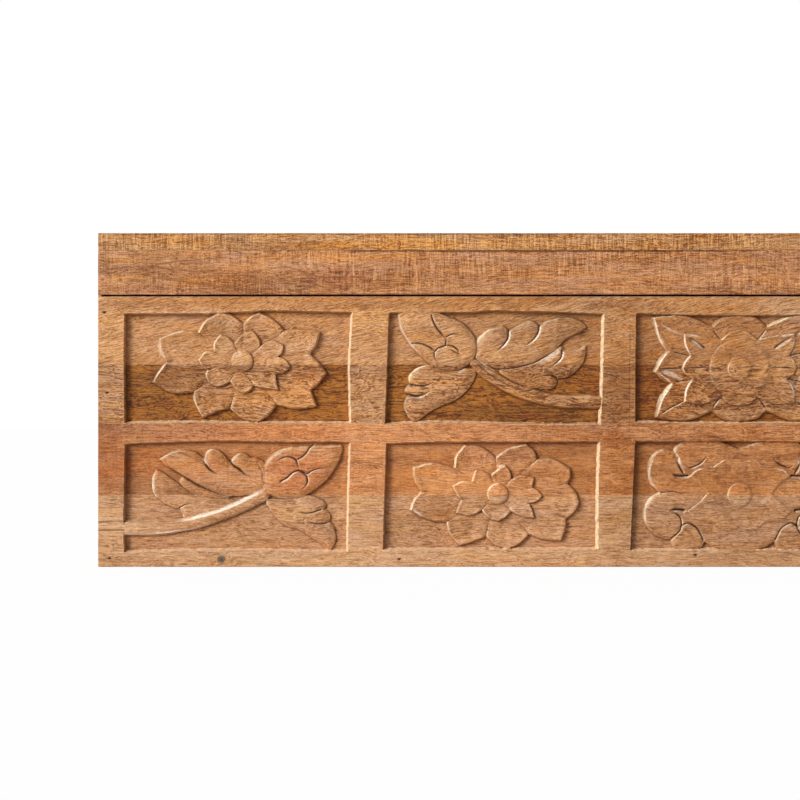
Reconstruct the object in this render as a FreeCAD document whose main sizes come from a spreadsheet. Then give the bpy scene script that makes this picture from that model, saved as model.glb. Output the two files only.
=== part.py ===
import FreeCAD, Part
import os
import re
from FreeCAD import Matrix, Placement, Rotation, Vector

# Carved wooden chest with a hinged lid, built from glued and nailed boards.
# Millimetres. The origin is on the floor under the middle of the closed chest.
# +X is to the right of someone facing the carved front, +Y goes to the back, +Z up.

os.makedirs("parts", exist_ok=True)

# Driving dimensions
SIZES = {
    # Whole chest
    "chest_width": 900.0,
    "chest_depth": 400.0,
    "body_height": 316.0,
    "lid_gap": 2.0,
    # Front panel of four glued boards, bottom to top; the fourth takes what is left
    "front_thick": 22.0,
    "front_height_1": 84.0,
    "front_height_2": 83.5,
    "front_height_3": 69.0,
    "ear_length": 4.0,
    # Sunk cells of the carving; the third column and the top rail take what is left
    "recess_depth": 10.0,
    "recess_run": 2.2,
    "side_stile": 30.0,
    "column_width_1": 264.0,
    "stile_width_1": 44.0,
    "column_width_2": 250.0,
    "stile_width_2": 42.0,
    "bottom_rail": 20.0,
    "lower_cell": 125.0,
    "middle_rail": 27.0,
    "upper_cell": 126.0,
    # How far each level of the carving lies below the front's face
    "petal_drop": 4.4,
    "inner_petal_drop": 2.8,
    "button_drop": 0.6,
    "leaf_drop": 3.4,
    "stem_drop": 2.0,
    "scroll_drop": 2.2,
    "small_leaf_drop": 4.4,
    # Back and end walls, four boards each; the top board takes what is left
    "back_thick": 20.0,
    "back_height_1": 82.0,
    "back_height_2": 74.0,
    "back_height_3": 83.0,
    "side_thick": 20.0,
    "side_height_1": 80.0,
    "side_height_2": 79.0,
    "side_height_3": 84.0,
    # Floor boards, held above the ground by the walls around them
    "floor_thick": 14.0,
    "floor_lift": 3.0,
    # Lid
    "skirt_height": 52.0,
    "skirt_thick": 20.0,
    "lid_board_thick": 20.0,
    "batten_width": 40.0,
    "batten_thick": 15.0,
    "batten_offset": 225.0,
    # Butt hinges
    "hinge_offset": 280.0,
    "hinge_length": 60.0,
    "axis_inset": 5.0,
    "knuckle_radius": 3.0,
    "knuckle_gap": 0.2,
    "leaf_thick": 1.5,
    "leaf_let_in": 0.75,
    "pin_radius": 1.5,
    "pin_clearance": 0.05,
    "pin_head_radius": 2.4,
    "pin_head_thick": 0.8,
    "pin_head_gap": 0.1,
    "turning_clearance": 0.3,
    "wood_clearance": 0.4,
    "mortise_clearance": 0.1,
    # The wood behind the hinge axis slopes away by this angle on both sides of the gap
    "bevel_angle": 50.0,
    # Countersunk screws
    "screw_radius": 1.3,
    "screw_head_radius": 2.6,
    "screw_head_height": 1.3,
    "screw_length": 12.0,
    "screw_tip": 2.5,
    "slot_width": 0.5,
    "slot_depth": 0.4,
    # Nails
    "nail_radius": 1.2,
    "nail_head_radius": 2.2,
    "nail_head_thick": 1.0,
    "nail_tip": 4.0,
    "nail_length": 40.0,
    "lid_nail_length": 32.0,
    "fastener_clearance": 0.05,
    # How far a cutting shape runs past the face that it opens
    "overrun": 1.0,
}

# Places of nails and screws, as shares of the piece that they hold.
# At each front corner the boards with a nail give its height in the board and its way into the end wall.
corner_nail_shares = {1: (0.121, 0.67), 3: (0.522, 0.525), 4: (0.766, 0.38)}
# Along the front's foot each nail gives its place in the width and its height in the floor's thickness.
front_floor_nail_shares = ((-0.340, 0.41), (-0.109, 0.45), (0.275, 0.79))
even_nail_shares = (-0.333, -0.111, 0.111, 0.333)
screw_shares = (-0.33, 0.0, 0.33)
half_share = 0.5

# An arc that bulges less than this share of its length is drawn as a line
straight_share = 0.000001

# Counts
WALL_BOARDS = 4
FLOOR_BOARDS = 4
LID_BOARDS = 5
KNUCKLES = 5

# The carving, in pixels of the photograph. A cell's frame is left, right, top, bottom.
# Along an outline every second point is the middle of an arc.
CELL_FRAMES = {
    "upper_1": (125, 350, 312, 421),
    "upper_2": (387, 601, 313, 421),
    "upper_3": (637, 843, 315.5, 421),
    "lower_1": (125, 348, 443, 549.5),
    "lower_2": (385.5, 598, 442.5, 548.5),
    "lower_3": (633, 847, 442.5, 548),
}
MIRROR_PIXEL = 740

ROUND_FLOWER = {
    "petal_drop": [
        (243, 325), (232, 316), (219, 313), (206, 321), (198, 333), (179, 332), (160, 339), (161, 350),
        (167, 362), (159, 372), (153, 382), (171, 392), (194, 391), (196, 404), (203, 417), (217, 411),
        (230, 408), (242, 418), (257, 422), (268, 415), (276, 404), (294, 408), (316, 406), (313, 398),
        (310, 390), (319, 382), (326, 373), (319, 364), (309, 354), (316, 344), (319, 332), (300, 330),
        (284, 331), (273, 320), (259, 313), (251, 317),
    ],
    "inner_petal_drop": [
        (234, 344), (228, 338), (221, 335), (215, 342), (214, 352), (206, 352), (199, 360), (203, 367),
        (208, 370), (206, 375), (209, 382), (218, 386), (230, 381), (236, 389), (244, 393), (250, 390),
        (253, 385), (265, 388), (278, 389), (276, 381), (275, 374), (284, 372), (290, 367), (285, 360),
        (277, 357), (282, 352), (283, 345), (271, 341), (260, 347), (258, 338), (252, 331), (242, 335),
    ],
    "button_drop": [(231, 361), (242, 350), (253, 361), (242, 372)],
}
BOLD_FLOWER = {
    "petal_drop": [
        (496, 458), (482, 448), (465, 446), (457, 456), (455, 469), (434, 464), (414, 468), (415, 480),
        (422, 492), (415, 500), (411, 510), (428, 519), (447, 522), (451, 535), (460, 545), (474, 541),
        (486, 536), (496, 545), (508, 549), (520, 543), (529, 534), (544, 539), (561, 540), (565, 529),
        (566, 518), (574, 512), (579, 502), (575, 492), (567, 484), (570, 477), (570, 469), (554, 460),
        (537, 460), (534, 451), (527, 445), (511, 449),
    ],
    "inner_petal_drop": [
        (491, 476), (484, 472), (476, 471), (474, 477), (473, 482), (463, 482), (453, 486), (457, 494),
        (462, 500), (459, 506), (457, 513), (470, 515), (482, 510), (489, 518), (498, 521), (505, 517),
        (511, 511), (522, 516), (534, 518), (532, 510), (528, 503), (537, 501), (542, 496), (538, 491),
        (532, 488), (533, 483), (534, 478), (522, 476), (511, 480), (510, 472), (505, 466), (497, 471),
    ],
    "button_drop": [(487.5, 494), (498, 483.5), (508.5, 494), (498, 504.5)],
}
# These two give their left half, from the top middle to the bottom middle
STAR_FLOWER_HALF = {
    "petal_drop": [
        (740, 316), (724, 318), (713, 327), (684, 316), (654, 318), (660, 336), (670, 351), (661, 360),
        (656, 371), (663, 379), (673, 383), (662, 398), (657, 417), (686, 420), (713, 410), (724, 418),
        (740, 421),
    ],
    "inner_petal_drop": [
        (740, 330), (730, 333), (722, 340), (703, 336), (685, 334), (686, 345), (691, 356), (686, 361),
        (683, 368), (686, 374), (693, 379), (687, 390), (685, 402), (703, 404), (722, 397), (730, 404),
        (740, 406),
    ],
    "button_drop": [(740, 357), (730, 359), (728, 368), (730, 377), (740, 379)],
}
ROSETTE_HALF = {
    "petal_drop": [
        (740, 449), (727, 441), (708, 440), (688, 440), (677, 451), (650.4, 474), (661, 492), (645.2, 518),
        (672, 538), (679, 551), (692, 551), (701, 549), (705, 541), (718, 551), (740, 551),
    ],
    "inner_petal_drop": [
        (740, 463), (726, 460), (714, 468), (698, 466), (689, 478), (681, 486), (687, 495), (681, 504),
        (687, 513), (698, 522), (713, 521), (726, 530), (740, 527),
    ],
    "button_drop": [(740, 483), (728, 485), (726, 495), (728, 505), (740, 507)],
}
LEFT_LEAF = {
    "stem_drop": [
        (118, 521), (155, 520.8), (185, 518), (216, 509.8), (245, 497.5), (255, 492.5), (266, 488), (268, 494),
        (267, 501), (256, 506), (245, 511.5), (215, 523.5), (180, 532), (150, 535), (118, 535.5), (118, 528),
    ],
    "leaf_drop": [
        (160, 460), (170, 454), (186, 451), (197, 453.5), (203.5, 459), (208, 451.5), (217, 450.5), (225, 455),
        (229, 463), (233, 458), (241, 454), (247, 455.5), (252, 459.5), (259, 461), (267, 470), (264, 484),
        (250, 494), (235, 496), (220, 493.5), (202, 486.5), (185, 477.5), (171, 469.5),
    ],
    "small_leaf_drop": [
        (157, 470), (152.5, 481), (155, 496), (161, 502), (170, 506.5), (176, 508.5), (181, 507.5), (181.5, 513),
        (184, 521), (205, 517), (225, 511), (212, 500), (195, 495.5), (187, 492), (178, 484), (169, 477),
    ],
    "scroll_drop": [
        (264, 492), (261, 474), (270, 458), (279, 451), (290, 447), (298, 445), (304, 440), (324, 440),
        (344, 440), (341, 458), (330, 474), (318, 486.5), (302, 496.5), (283, 499),
    ],
    "petal_drop": [
        (266, 498), (283, 497), (300, 497), (314, 497), (325, 504), (324, 508), (321, 510), (329, 514),
        (328, 523), (335, 536), (331, 552), (325, 551), (318, 542.5), (305, 533.5), (290, 527.5), (276, 516),
    ],
}
MIDDLE_LEAF = {
    "stem_drop": [
        (472, 354), (486, 365), (505, 377), (530, 387.5), (560, 394), (582, 395), (608, 395), (608, 402),
        (608, 408.7), (580, 409.3), (550, 407), (512, 396), (483, 379), (476, 373), (469, 366), (469, 360),
    ],
    "leaf_drop": [
        (474, 357), (475, 341), (490, 330), (497, 327.5), (507, 330), (519, 324), (533, 321.5), (537, 323),
        (540, 327), (551, 319.5), (570, 318.5), (583, 322), (585, 328), (572, 335), (562, 342), (548, 355.5),
        (530, 363.5), (505, 370),
    ],
    "small_leaf_drop": [
        (532, 366), (550, 357), (567, 350.5), (577, 350), (586, 347), (584.5, 362), (575, 372), (566, 378),
        (556, 377.5), (557, 383), (548, 388.8), (530, 389), (505, 379), (515, 371),
    ],
    "scroll_drop": [
        (398, 309), (400, 327), (411, 344.5), (423, 357), (438, 367.5), (457, 371), (474.5, 359), (475, 338),
        (461, 323), (451, 318), (440, 314), (434, 311), (430, 308), (414, 308),
    ],
    "petal_drop": [
        (470, 367), (450, 370), (432, 366), (415, 369.5), (411, 384.5), (405.5, 390), (408.5, 395), (404, 406),
        (409, 424), (414, 424), (420, 419.5), (436, 408), (452, 401), (468, 389.5), (476, 374), (474, 370),
    ],
}


def mirrored_half(outline):
    """Closes a half outline with its mirror image about the flower's middle."""
    back = [(2 * MIRROR_PIXEL - x, y) for x, y in reversed(outline)]
    return outline + back[1:-1]


def whole_motif(half):
    """Both halves of a flower that is given by its left half."""
    return {level: mirrored_half(outline) for level, outline in half.items()}


MOTIFS = {
    "upper_1": ROUND_FLOWER,
    "upper_2": MIDDLE_LEAF,
    "upper_3": whole_motif(STAR_FLOWER_HALF),
    "lower_1": LEFT_LEAF,
    "lower_2": BOLD_FLOWER,
    "lower_3": whole_motif(ROSETTE_HALF),
}

doc = FreeCAD.newDocument("carved_chest")
sheet = doc.addObject("Spreadsheet::Sheet", "Sizes")
for row, (alias, amount) in enumerate(SIZES.items(), start=1):
    sheet.set(f"A{row}", alias)
    sheet.set(f"B{row}", str(amount))
    sheet.setAlias(f"B{row}", alias)
doc.recompute()

nodes = []


def size(alias):
    """A driving dimension as the sheet holds it."""
    return float(sheet.get(alias))


def cells(formula):
    """A formula over the sheet's names, as an expression of the document."""
    return re.sub(r"[a-z]\w*", lambda word: f"Sizes.{word.group(0)}", formula)


def bind(piece, sides):
    """Ties each named property of a piece to a formula."""
    for side, formula in sides.items():
        piece.setExpression(side, cells(formula))
    return piece


def put(piece, start):
    """Ties a piece's place to three formulas."""
    for axis, formula in zip("xyz", start):
        piece.setExpression(f".Placement.Base.{axis}", cells(formula))
    return piece


def box(name, start, extent):
    """A block from its lowest corner and its three sides."""
    piece = doc.addObject("Part::Box", name)
    bind(piece, dict(zip(("Length", "Width", "Height"), extent)))
    return put(piece, start)


def rod(name, start, radius, length):
    """A round bar along +X from its left end."""
    piece = doc.addObject("Part::Cylinder", name)
    piece.Placement = Placement(Vector(), Rotation(Vector(0, 1, 0), 90))
    bind(piece, {"Radius": radius, "Height": length})
    return put(piece, start)


def shaped(name, shape):
    """A piece whose shape comes from an outline or from copies."""
    piece = doc.addObject("Part::Feature", name)
    piece.Shape = shape
    return piece


def group(name, pieces):
    """Several separate solids kept together."""
    piece = doc.addObject("Part::Compound", name)
    piece.Links = pieces
    return piece


def cut(name, base, tools):
    """The base with the tools taken away."""
    piece = doc.addObject("Part::Cut", name)
    piece.Base = base
    piece.Tool = tools[0] if len(tools) == 1 else group(f"{name}_tools", tools)
    return piece


def fuse(name, pieces):
    """Pieces joined to one solid."""
    piece = doc.addObject("Part::MultiFuse", name)
    piece.Shapes = pieces
    piece.Refine = False
    return piece


def keep(piece, label):
    """Marks a piece as one of the chest's own parts."""
    piece.Label = label
    nodes.append(piece)
    return piece


# Fasteners, pointing down from the face that their head lies in

def nail(name, length, clearance, overrun):
    """A nail, or with a clearance the hole that it sits in."""
    head_top = overrun
    head = doc.addObject("Part::Cylinder", f"{name}_head")
    bind(head, {
        "Radius": f"nail_head_radius + {clearance}",
        "Height": f"nail_head_thick + {clearance} + {head_top}",
    })
    put(head, ("0", "0", f"-nail_head_thick - {clearance}"))
    shank = doc.addObject("Part::Cylinder", f"{name}_shank")
    bind(shank, {
        "Radius": f"nail_radius + {clearance}",
        "Height": f"{length} - nail_tip",
    })
    put(shank, ("0", "0", f"nail_tip - {length}"))
    tip = doc.addObject("Part::Cone", f"{name}_tip")
    bind(tip, {
        "Radius1": f"nail_radius / 4 + {clearance}",
        "Radius2": f"nail_radius + {clearance}",
        "Height": f"nail_tip + {clearance}",
    })
    put(tip, ("0", "0", f"-{length} - {clearance}"))
    return fuse(name, [head, shank, tip])


def screw(name, clearance, overrun):
    """A countersunk screw, or with a clearance the hole that it sits in."""
    head = doc.addObject("Part::Cone", f"{name}_head")
    bind(head, {
        "Radius1": f"screw_radius + {clearance}",
        "Radius2": f"screw_head_radius + {clearance}",
        "Height": "screw_head_height",
    })
    put(head, ("0", "0", "-screw_head_height"))
    shank = doc.addObject("Part::Cylinder", f"{name}_shank")
    bind(shank, {
        "Radius": f"screw_radius + {clearance}",
        "Height": "screw_length - screw_tip - screw_head_height / 2",
    })
    put(shank, ("0", "0", "screw_tip - screw_length"))
    tip = doc.addObject("Part::Cone", f"{name}_tip")
    bind(tip, {
        "Radius1": f"screw_radius / 4 + {clearance}",
        "Radius2": f"screw_radius + {clearance}",
        "Height": f"screw_tip + {clearance}",
    })
    put(tip, ("0", "0", f"-screw_length - {clearance}"))
    pieces = [head, shank, tip]
    if overrun != "0":
        mouth = doc.addObject("Part::Cylinder", f"{name}_mouth")
        bind(mouth, {"Radius": f"screw_head_radius + {clearance}", "Height": overrun})
        pieces.append(mouth)
    return fuse(name, pieces)


wall_nail = nail("wall_nail", "nail_length", "0", "0")
wall_nail_hole = nail("wall_nail_hole", "nail_length", "fastener_clearance", "overrun")
lid_nail = nail("lid_nail", "lid_nail_length", "0", "0")
lid_nail_hole = nail("lid_nail_hole", "lid_nail_length", "fastener_clearance", "overrun")
screw_slot = box(
    "screw_slot",
    ("-screw_head_radius - overrun", "-slot_width / 2", "-slot_depth"),
    ("2 * (screw_head_radius + overrun)", "slot_width", "slot_depth + overrun"),
)
wood_screw = cut("wood_screw", screw("wood_screw_blank", "0", "0"), [screw_slot])
wood_screw_hole = screw("wood_screw_hole", "fastener_clearance", "overrun")
doc.recompute()

DOWN = Rotation()
UP = Rotation(Vector(1, 0, 0), 180)
INTO_FRONT = Rotation(Vector(1, 0, 0), 90)
INTO_BACK = Rotation(Vector(1, 0, 0), -90)
INTO_LEFT = Rotation(Vector(0, 1, 0), -90)
INTO_RIGHT = Rotation(Vector(0, 1, 0), 90)


def copies(name, model, spots, turn):
    """One fastener repeated at each spot."""
    shapes = []
    for spot in spots:
        shape = model.Shape.copy()
        shape.Placement = Placement(Vector(*spot), turn)
        shapes.append(shape)
    return shaped(name, Part.Compound(shapes))


# Where the nails and screws go

half_width = size("chest_width") / 2
half_depth = size("chest_depth") / 2
body_top = size("body_height")
rim_top = body_top + size("lid_gap")
lid_top = rim_top + size("skirt_height") + size("lid_board_thick")
floor_middle = size("floor_lift") + size("floor_thick") / 2
side_middle = half_width - size("side_thick") / 2
skirt_middle = half_width - size("skirt_thick") / 2
front_inside = size("front_thick") - half_depth
back_inside = half_depth - size("back_thick")
axis_y = half_depth - size("axis_inset")
axis_z = body_top + size("lid_gap") / 2


def stack(names, total):
    """Bottom and height of each board in a stack whose last board takes what is left."""
    heights = [size(name) for name in names]
    heights.append(total - sum(heights))
    bottoms = [sum(heights[:number]) for number in range(len(heights))]
    return list(zip(bottoms, heights))


front_stack = stack(("front_height_1", "front_height_2", "front_height_3"), body_top)
back_stack = stack(("back_height_1", "back_height_2", "back_height_3"), body_top)
floor_pitch = (back_inside - front_inside) / FLOOR_BOARDS
floor_middles = [front_inside + floor_pitch * (number + half_share) for number in range(FLOOR_BOARDS)]
lid_pitch = size("chest_depth") / LID_BOARDS
lid_middles = [lid_pitch * (number + half_share) - half_depth for number in range(LID_BOARDS)]

front_spots = []
for number, (height_share, wall_share) in corner_nail_shares.items():
    bottom, height = front_stack[number - 1]
    across = half_width - size("side_thick") * wall_share
    front_spots += [(side * across, -half_depth, bottom + height * height_share) for side in (-1, 1)]
for width_share, thick_share in front_floor_nail_shares:
    level = size("floor_lift") + size("floor_thick") * thick_share
    front_spots.append((width_share * size("chest_width"), -half_depth, level))

back_spots = [
    (side * side_middle, half_depth, bottom + height / 2) for side in (-1, 1) for bottom, height in back_stack
]
for share in even_nail_shares:
    back_spots.append((share * size("chest_width"), half_depth, floor_middle))

lid_spots = [(side * skirt_middle, y, lid_top) for side in (-1, 1) for y in lid_middles]
lid_spots += [(side * size("batten_offset"), y, lid_top) for side in (-1, 1) for y in lid_middles]
rail_middle = half_depth - size("skirt_thick") / 2
lid_spots += [
    (share * size("chest_width"), side * rail_middle, lid_top)
    for side in (-1, 1)
    for share in even_nail_shares
]

NAIL_GROUPS = {
    "front_nails": (wall_nail, wall_nail_hole, front_spots, INTO_FRONT),
    "back_nails": (wall_nail, wall_nail_hole, back_spots, INTO_BACK),
    "left_side_nails": (wall_nail, wall_nail_hole, [(-half_width, y, floor_middle) for y in floor_middles], INTO_LEFT),
    "right_side_nails": (wall_nail, wall_nail_hole, [(half_width, y, floor_middle) for y in floor_middles], INTO_RIGHT),
    "lid_nails": (lid_nail, lid_nail_hole, lid_spots, DOWN),
}
holes = {}
for name, (model, hole_model, spots, turn) in NAIL_GROUPS.items():
    keep(copies(name, model, spots, turn), name)
    holes[name] = copies(f"{name}_holes", hole_model, spots, turn)

leaf_reach = size("back_thick") - size("axis_inset")
flat_reach = leaf_reach - size("knuckle_radius") - size("turning_clearance")
screw_y = back_inside + flat_reach / 2
leaf_rise = size("leaf_thick") - size("leaf_let_in")
screw_columns = [
    side * size("hinge_offset") + share * size("hinge_length") for side in (-1, 1) for share in screw_shares
]
SCREW_GROUPS = {
    "body_hinge_screws": (body_top + leaf_rise, DOWN),
    "lid_hinge_screws": (rim_top - leaf_rise, UP),
}
for name, (face, turn) in SCREW_GROUPS.items():
    spots = [(x, screw_y, face) for x in screw_columns]
    keep(copies(name, wood_screw, spots, turn), name)
    holes[name] = copies(f"{name}_holes", wood_screw_hole, spots, turn)


# Carved front

def bent_edge(first, middle, last):
    """An arc through three points, or a line where they lie in line."""
    chord = last - first
    if (middle - first).cross(chord).Length <= straight_share * chord.Length ** 2:
        return Part.LineSegment(first, last).toShape()
    return Part.Arc(first, middle, last).toShape()


def outline_face(points):
    """The flat face inside a closed ring of arcs, in pixels, with Z upwards."""
    corners = [Vector(x, 0, -y) for x, y in points]
    ends = corners[2::2] + corners[:1]
    edges = [bent_edge(*arc) for arc in zip(corners[0::2], corners[1::2], ends)]
    return Part.Face(Part.Wire(edges))


def relief(name, corner, extent, frame, motif):
    """The raised parts of one cell, each standing up from below the cell's floor to its own level."""
    left, right, top, bottom = frame
    wide = extent[0] / (right - left)
    high = extent[1] / (bottom - top)
    solids = []
    for level, outline in motif.items():
        to_cell = Matrix()
        to_cell.A11 = wide
        to_cell.A33 = high
        to_cell.A14 = corner[0] - left * wide
        to_cell.A24 = size(level) - half_depth
        to_cell.A34 = corner[1] + bottom * high
        rise = size("recess_depth") + size("overrun") - size(level)
        solids.append(outline_face(outline).transformGeometry(to_cell).extrude(Vector(0, rise, 0)))
    return shaped(name, solids[0].multiFuse(solids[1:]))


columns = {
    1: ("side_stile", "column_width_1"),
    2: ("side_stile + column_width_1 + stile_width_1", "column_width_2"),
    3: (
        "side_stile + column_width_1 + stile_width_1 + column_width_2 + stile_width_2",
        "(chest_width - 2 * side_stile - column_width_1 - stile_width_1 - column_width_2 - stile_width_2)",
    ),
}
rows = {
    "lower": ("bottom_rail", "lower_cell"),
    "upper": ("bottom_rail + lower_cell + middle_rail", "upper_cell"),
}
recesses = {}
for row_name, (z, height) in rows.items():
    for column, (x, width) in columns.items():
        name = f"{row_name}_{column}"
        recess = doc.addObject("Part::Wedge", f"recess_{name}")
        bind(recess, {
            "Xmin": "-recess_run * overrun / recess_depth",
            "Xmax": f"{width} + recess_run * overrun / recess_depth",
            "Zmin": "-recess_run * overrun / recess_depth",
            "Zmax": f"{height} + recess_run * overrun / recess_depth",
            "Ymin": "-overrun",
            "Ymax": "recess_depth",
            "X2min": "recess_run",
            "X2max": f"{width} - recess_run",
            "Z2min": "recess_run",
            "Z2max": f"{height} - recess_run",
        })
        put(recess, (f"{x} - chest_width / 2", "-chest_depth / 2", z))
        recesses[name] = recess
doc.recompute()

carvings = []
for name, recess in recesses.items():
    corner = (recess.Placement.Base.x, recess.Placement.Base.z)
    slope = size("recess_run")
    extent = (float(recess.X2max) + slope, float(recess.Z2max) + slope)
    raised = relief(f"raised_{name}", corner, extent, CELL_FRAMES[name], MOTIFS[name])
    carvings.append(cut(f"carving_{name}", recess, [raised]))


def stacked(names, total):
    """Formulas for the bottom and height of each board in a stack, like stack but for the document."""
    bottoms = ["0"] + [" + ".join(names[:number]) for number in range(1, len(names) + 1)]
    heights = list(names) + [f"{total} - " + " - ".join(names)]
    return list(zip(bottoms, heights))


lid_relief = box(
    "lid_relief",
    ("ear_length - chest_width / 2", "-chest_depth / 2 - overrun", "body_height"),
    ("chest_width - 2 * ear_length", "front_thick + 2 * overrun", "lid_gap + overrun"),
)
front_names = ["front_height_1", "front_height_2", "front_height_3"]
for number, (bottom, height) in enumerate(stacked(front_names, "body_height"), start=1):
    tools = carvings + [holes["front_nails"]]
    if number == WALL_BOARDS:
        height = f"{height} + lid_gap"
        tools = tools + [lid_relief]
    if number == 1:
        tools = tools + [holes["left_side_nails"], holes["right_side_nails"]]
    blank = box(
        f"front_blank_{number}",
        ("-chest_width / 2", "-chest_depth / 2", bottom),
        ("chest_width", "front_thick", height),
    )
    keep(cut(f"front_board_{number}_cut", blank, tools), f"front_board_{number}")


# Hinge line: the wood is bevelled behind the axis, mortised for the leaves and hollowed for the knuckles

axis_place = ("chest_depth / 2 - axis_inset", "body_height + lid_gap / 2")
RIM = "body_height + lid_gap"
bevels = {}
for face, turn in (("body_height", -size("bevel_angle")), (RIM, size("bevel_angle") - 90)):
    bevel = doc.addObject("Part::Box", "bevel")
    bevel.Placement = Placement(Vector(), Rotation(Vector(1, 0, 0), turn))
    bind(bevel, {
        "Length": "chest_width + 2 * overrun",
        "Width": "2 * axis_inset + overrun",
        "Height": "2 * axis_inset + overrun",
    })
    bevels[face] = put(bevel, ("-chest_width / 2 - overrun", axis_place[0], face))

HINGE_MIDDLES = {"left": "-hinge_offset", "right": "hinge_offset"}
hollows = []
mortises = {"body": [], "lid": []}
for side, middle in HINGE_MIDDLES.items():
    hollows.append(rod(
        f"{side}_hollow",
        (f"{middle} - hinge_length / 2 - pin_head_gap - pin_head_thick - wood_clearance", *axis_place),
        "knuckle_radius + wood_clearance",
        "hinge_length + 2 * (pin_head_gap + pin_head_thick + wood_clearance)",
    ))
    for body, face in (("body", "body_height - leaf_let_in"), ("lid", f"{RIM} - overrun")):
        mortises[body].append(box(
            f"{side}_{body}_mortise",
            (
                f"{middle} - hinge_length / 2 - mortise_clearance",
                "chest_depth / 2 - back_thick - overrun",
                face,
            ),
            (
                "hinge_length + 2 * mortise_clearance",
                "back_thick - axis_inset + overrun",
                "leaf_let_in + overrun",
            ),
        ))

KNUCKLE_LENGTH = f"(hinge_length - {KNUCKLES - 1} * knuckle_gap) / {KNUCKLES}"
LEAVES = {"body": (0, "body_height - leaf_let_in"), "lid": (1, f"{RIM} + leaf_let_in - leaf_thick")}
for side, middle in HINGE_MIDDLES.items():
    starts = [
        f"{middle} - hinge_length / 2 + {number} * ({KNUCKLE_LENGTH} + knuckle_gap)" for number in range(KNUCKLES)
    ]
    bore = rod(
        f"{side}_bore",
        (f"{middle} - hinge_length / 2 - overrun", *axis_place),
        "pin_radius + pin_clearance",
        "hinge_length + 2 * overrun",
    )
    for body, (first, bottom) in LEAVES.items():
        name = f"{side}_hinge_{body}_leaf"
        plate = box(
            f"{name}_plate",
            (f"{middle} - hinge_length / 2", "chest_depth / 2 - back_thick", bottom),
            ("hinge_length", "back_thick - axis_inset", "leaf_thick"),
        )
        notches = [
            box(
                f"{name}_notch",
                (
                    f"{start} - knuckle_gap",
                    "chest_depth / 2 - axis_inset - knuckle_radius - turning_clearance",
                    f"{bottom} - overrun",
                ),
                (
                    f"{KNUCKLE_LENGTH} + 2 * knuckle_gap",
                    "knuckle_radius + turning_clearance + overrun",
                    "leaf_thick + 2 * overrun",
                ),
            )
            for start in starts[1 - first::2]
        ]
        knuckles = [
            rod(f"{name}_knuckle", (start, *axis_place), "knuckle_radius", KNUCKLE_LENGTH)
            for start in starts[first::2]
        ]
        solid = fuse(f"{name}_solid", [cut(f"{name}_notched", plate, notches)] + knuckles)
        keep(cut(f"{name}_cut", solid, [bore, holes[f"{body}_hinge_screws"]]), name)

    shank = rod(
        f"{side}_shank",
        (f"{middle} - hinge_length / 2 - pin_head_gap", *axis_place),
        "pin_radius",
        "hinge_length + 2 * pin_head_gap",
    )
    heads = [
        rod(f"{side}_head", (start, *axis_place), "pin_head_radius", "pin_head_thick")
        for start in (
            f"{middle} - hinge_length / 2 - pin_head_gap - pin_head_thick",
            f"{middle} + hinge_length / 2 + pin_head_gap",
        )
    ]
    keep(fuse(f"{side}_hinge_pin_solid", [shank] + heads), f"{side}_hinge_pin")


# Plain walls and floor

back_names = ["back_height_1", "back_height_2", "back_height_3"]
for number, (bottom, height) in enumerate(stacked(back_names, "body_height"), start=1):
    tools = [holes["back_nails"]]
    if number == WALL_BOARDS:
        tools = tools + hollows + mortises["body"] + [bevels["body_height"], holes["body_hinge_screws"]]
    blank = box(
        f"back_blank_{number}",
        ("-chest_width / 2", "chest_depth / 2 - back_thick", bottom),
        ("chest_width", "back_thick", height),
    )
    keep(cut(f"back_board_{number}_cut", blank, tools), f"back_board_{number}")

side_names = ["side_height_1", "side_height_2", "side_height_3"]
for side, start in (("left", "-chest_width / 2"), ("right", "chest_width / 2 - side_thick")):
    side_holes = [holes["front_nails"], holes["back_nails"], holes[f"{side}_side_nails"]]
    for number, (bottom, height) in enumerate(stacked(side_names, RIM), start=1):
        blank = box(
            f"{side}_side_blank_{number}",
            (start, "front_thick - chest_depth / 2", bottom),
            ("side_thick", "chest_depth - front_thick - back_thick", height),
        )
        keep(cut(f"{side}_side_board_{number}_cut", blank, side_holes), f"{side}_side_board_{number}")

floor_width = f"(chest_depth - front_thick - back_thick) / {FLOOR_BOARDS}"
floor_holes = [holes[name] for name in ("front_nails", "back_nails", "left_side_nails", "right_side_nails")]
for number in range(FLOOR_BOARDS):
    blank = box(
        f"floor_blank_{number + 1}",
        (
            "side_thick - chest_width / 2",
            f"front_thick - chest_depth / 2 + {number} * {floor_width}",
            "floor_lift",
        ),
        ("chest_width - 2 * side_thick", floor_width, "floor_thick"),
    )
    keep(cut(f"floor_board_{number + 1}_cut", blank, floor_holes), f"floor_board_{number + 1}")


# Lid

for number in range(LID_BOARDS):
    blank = box(
        f"lid_blank_{number + 1}",
        ("-chest_width / 2", f"{number} * chest_depth / {LID_BOARDS} - chest_depth / 2", f"{RIM} + skirt_height"),
        ("chest_width", f"chest_depth / {LID_BOARDS}", "lid_board_thick"),
    )
    keep(cut(f"lid_board_{number + 1}_cut", blank, [holes["lid_nails"]]), f"lid_board_{number + 1}")

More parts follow.
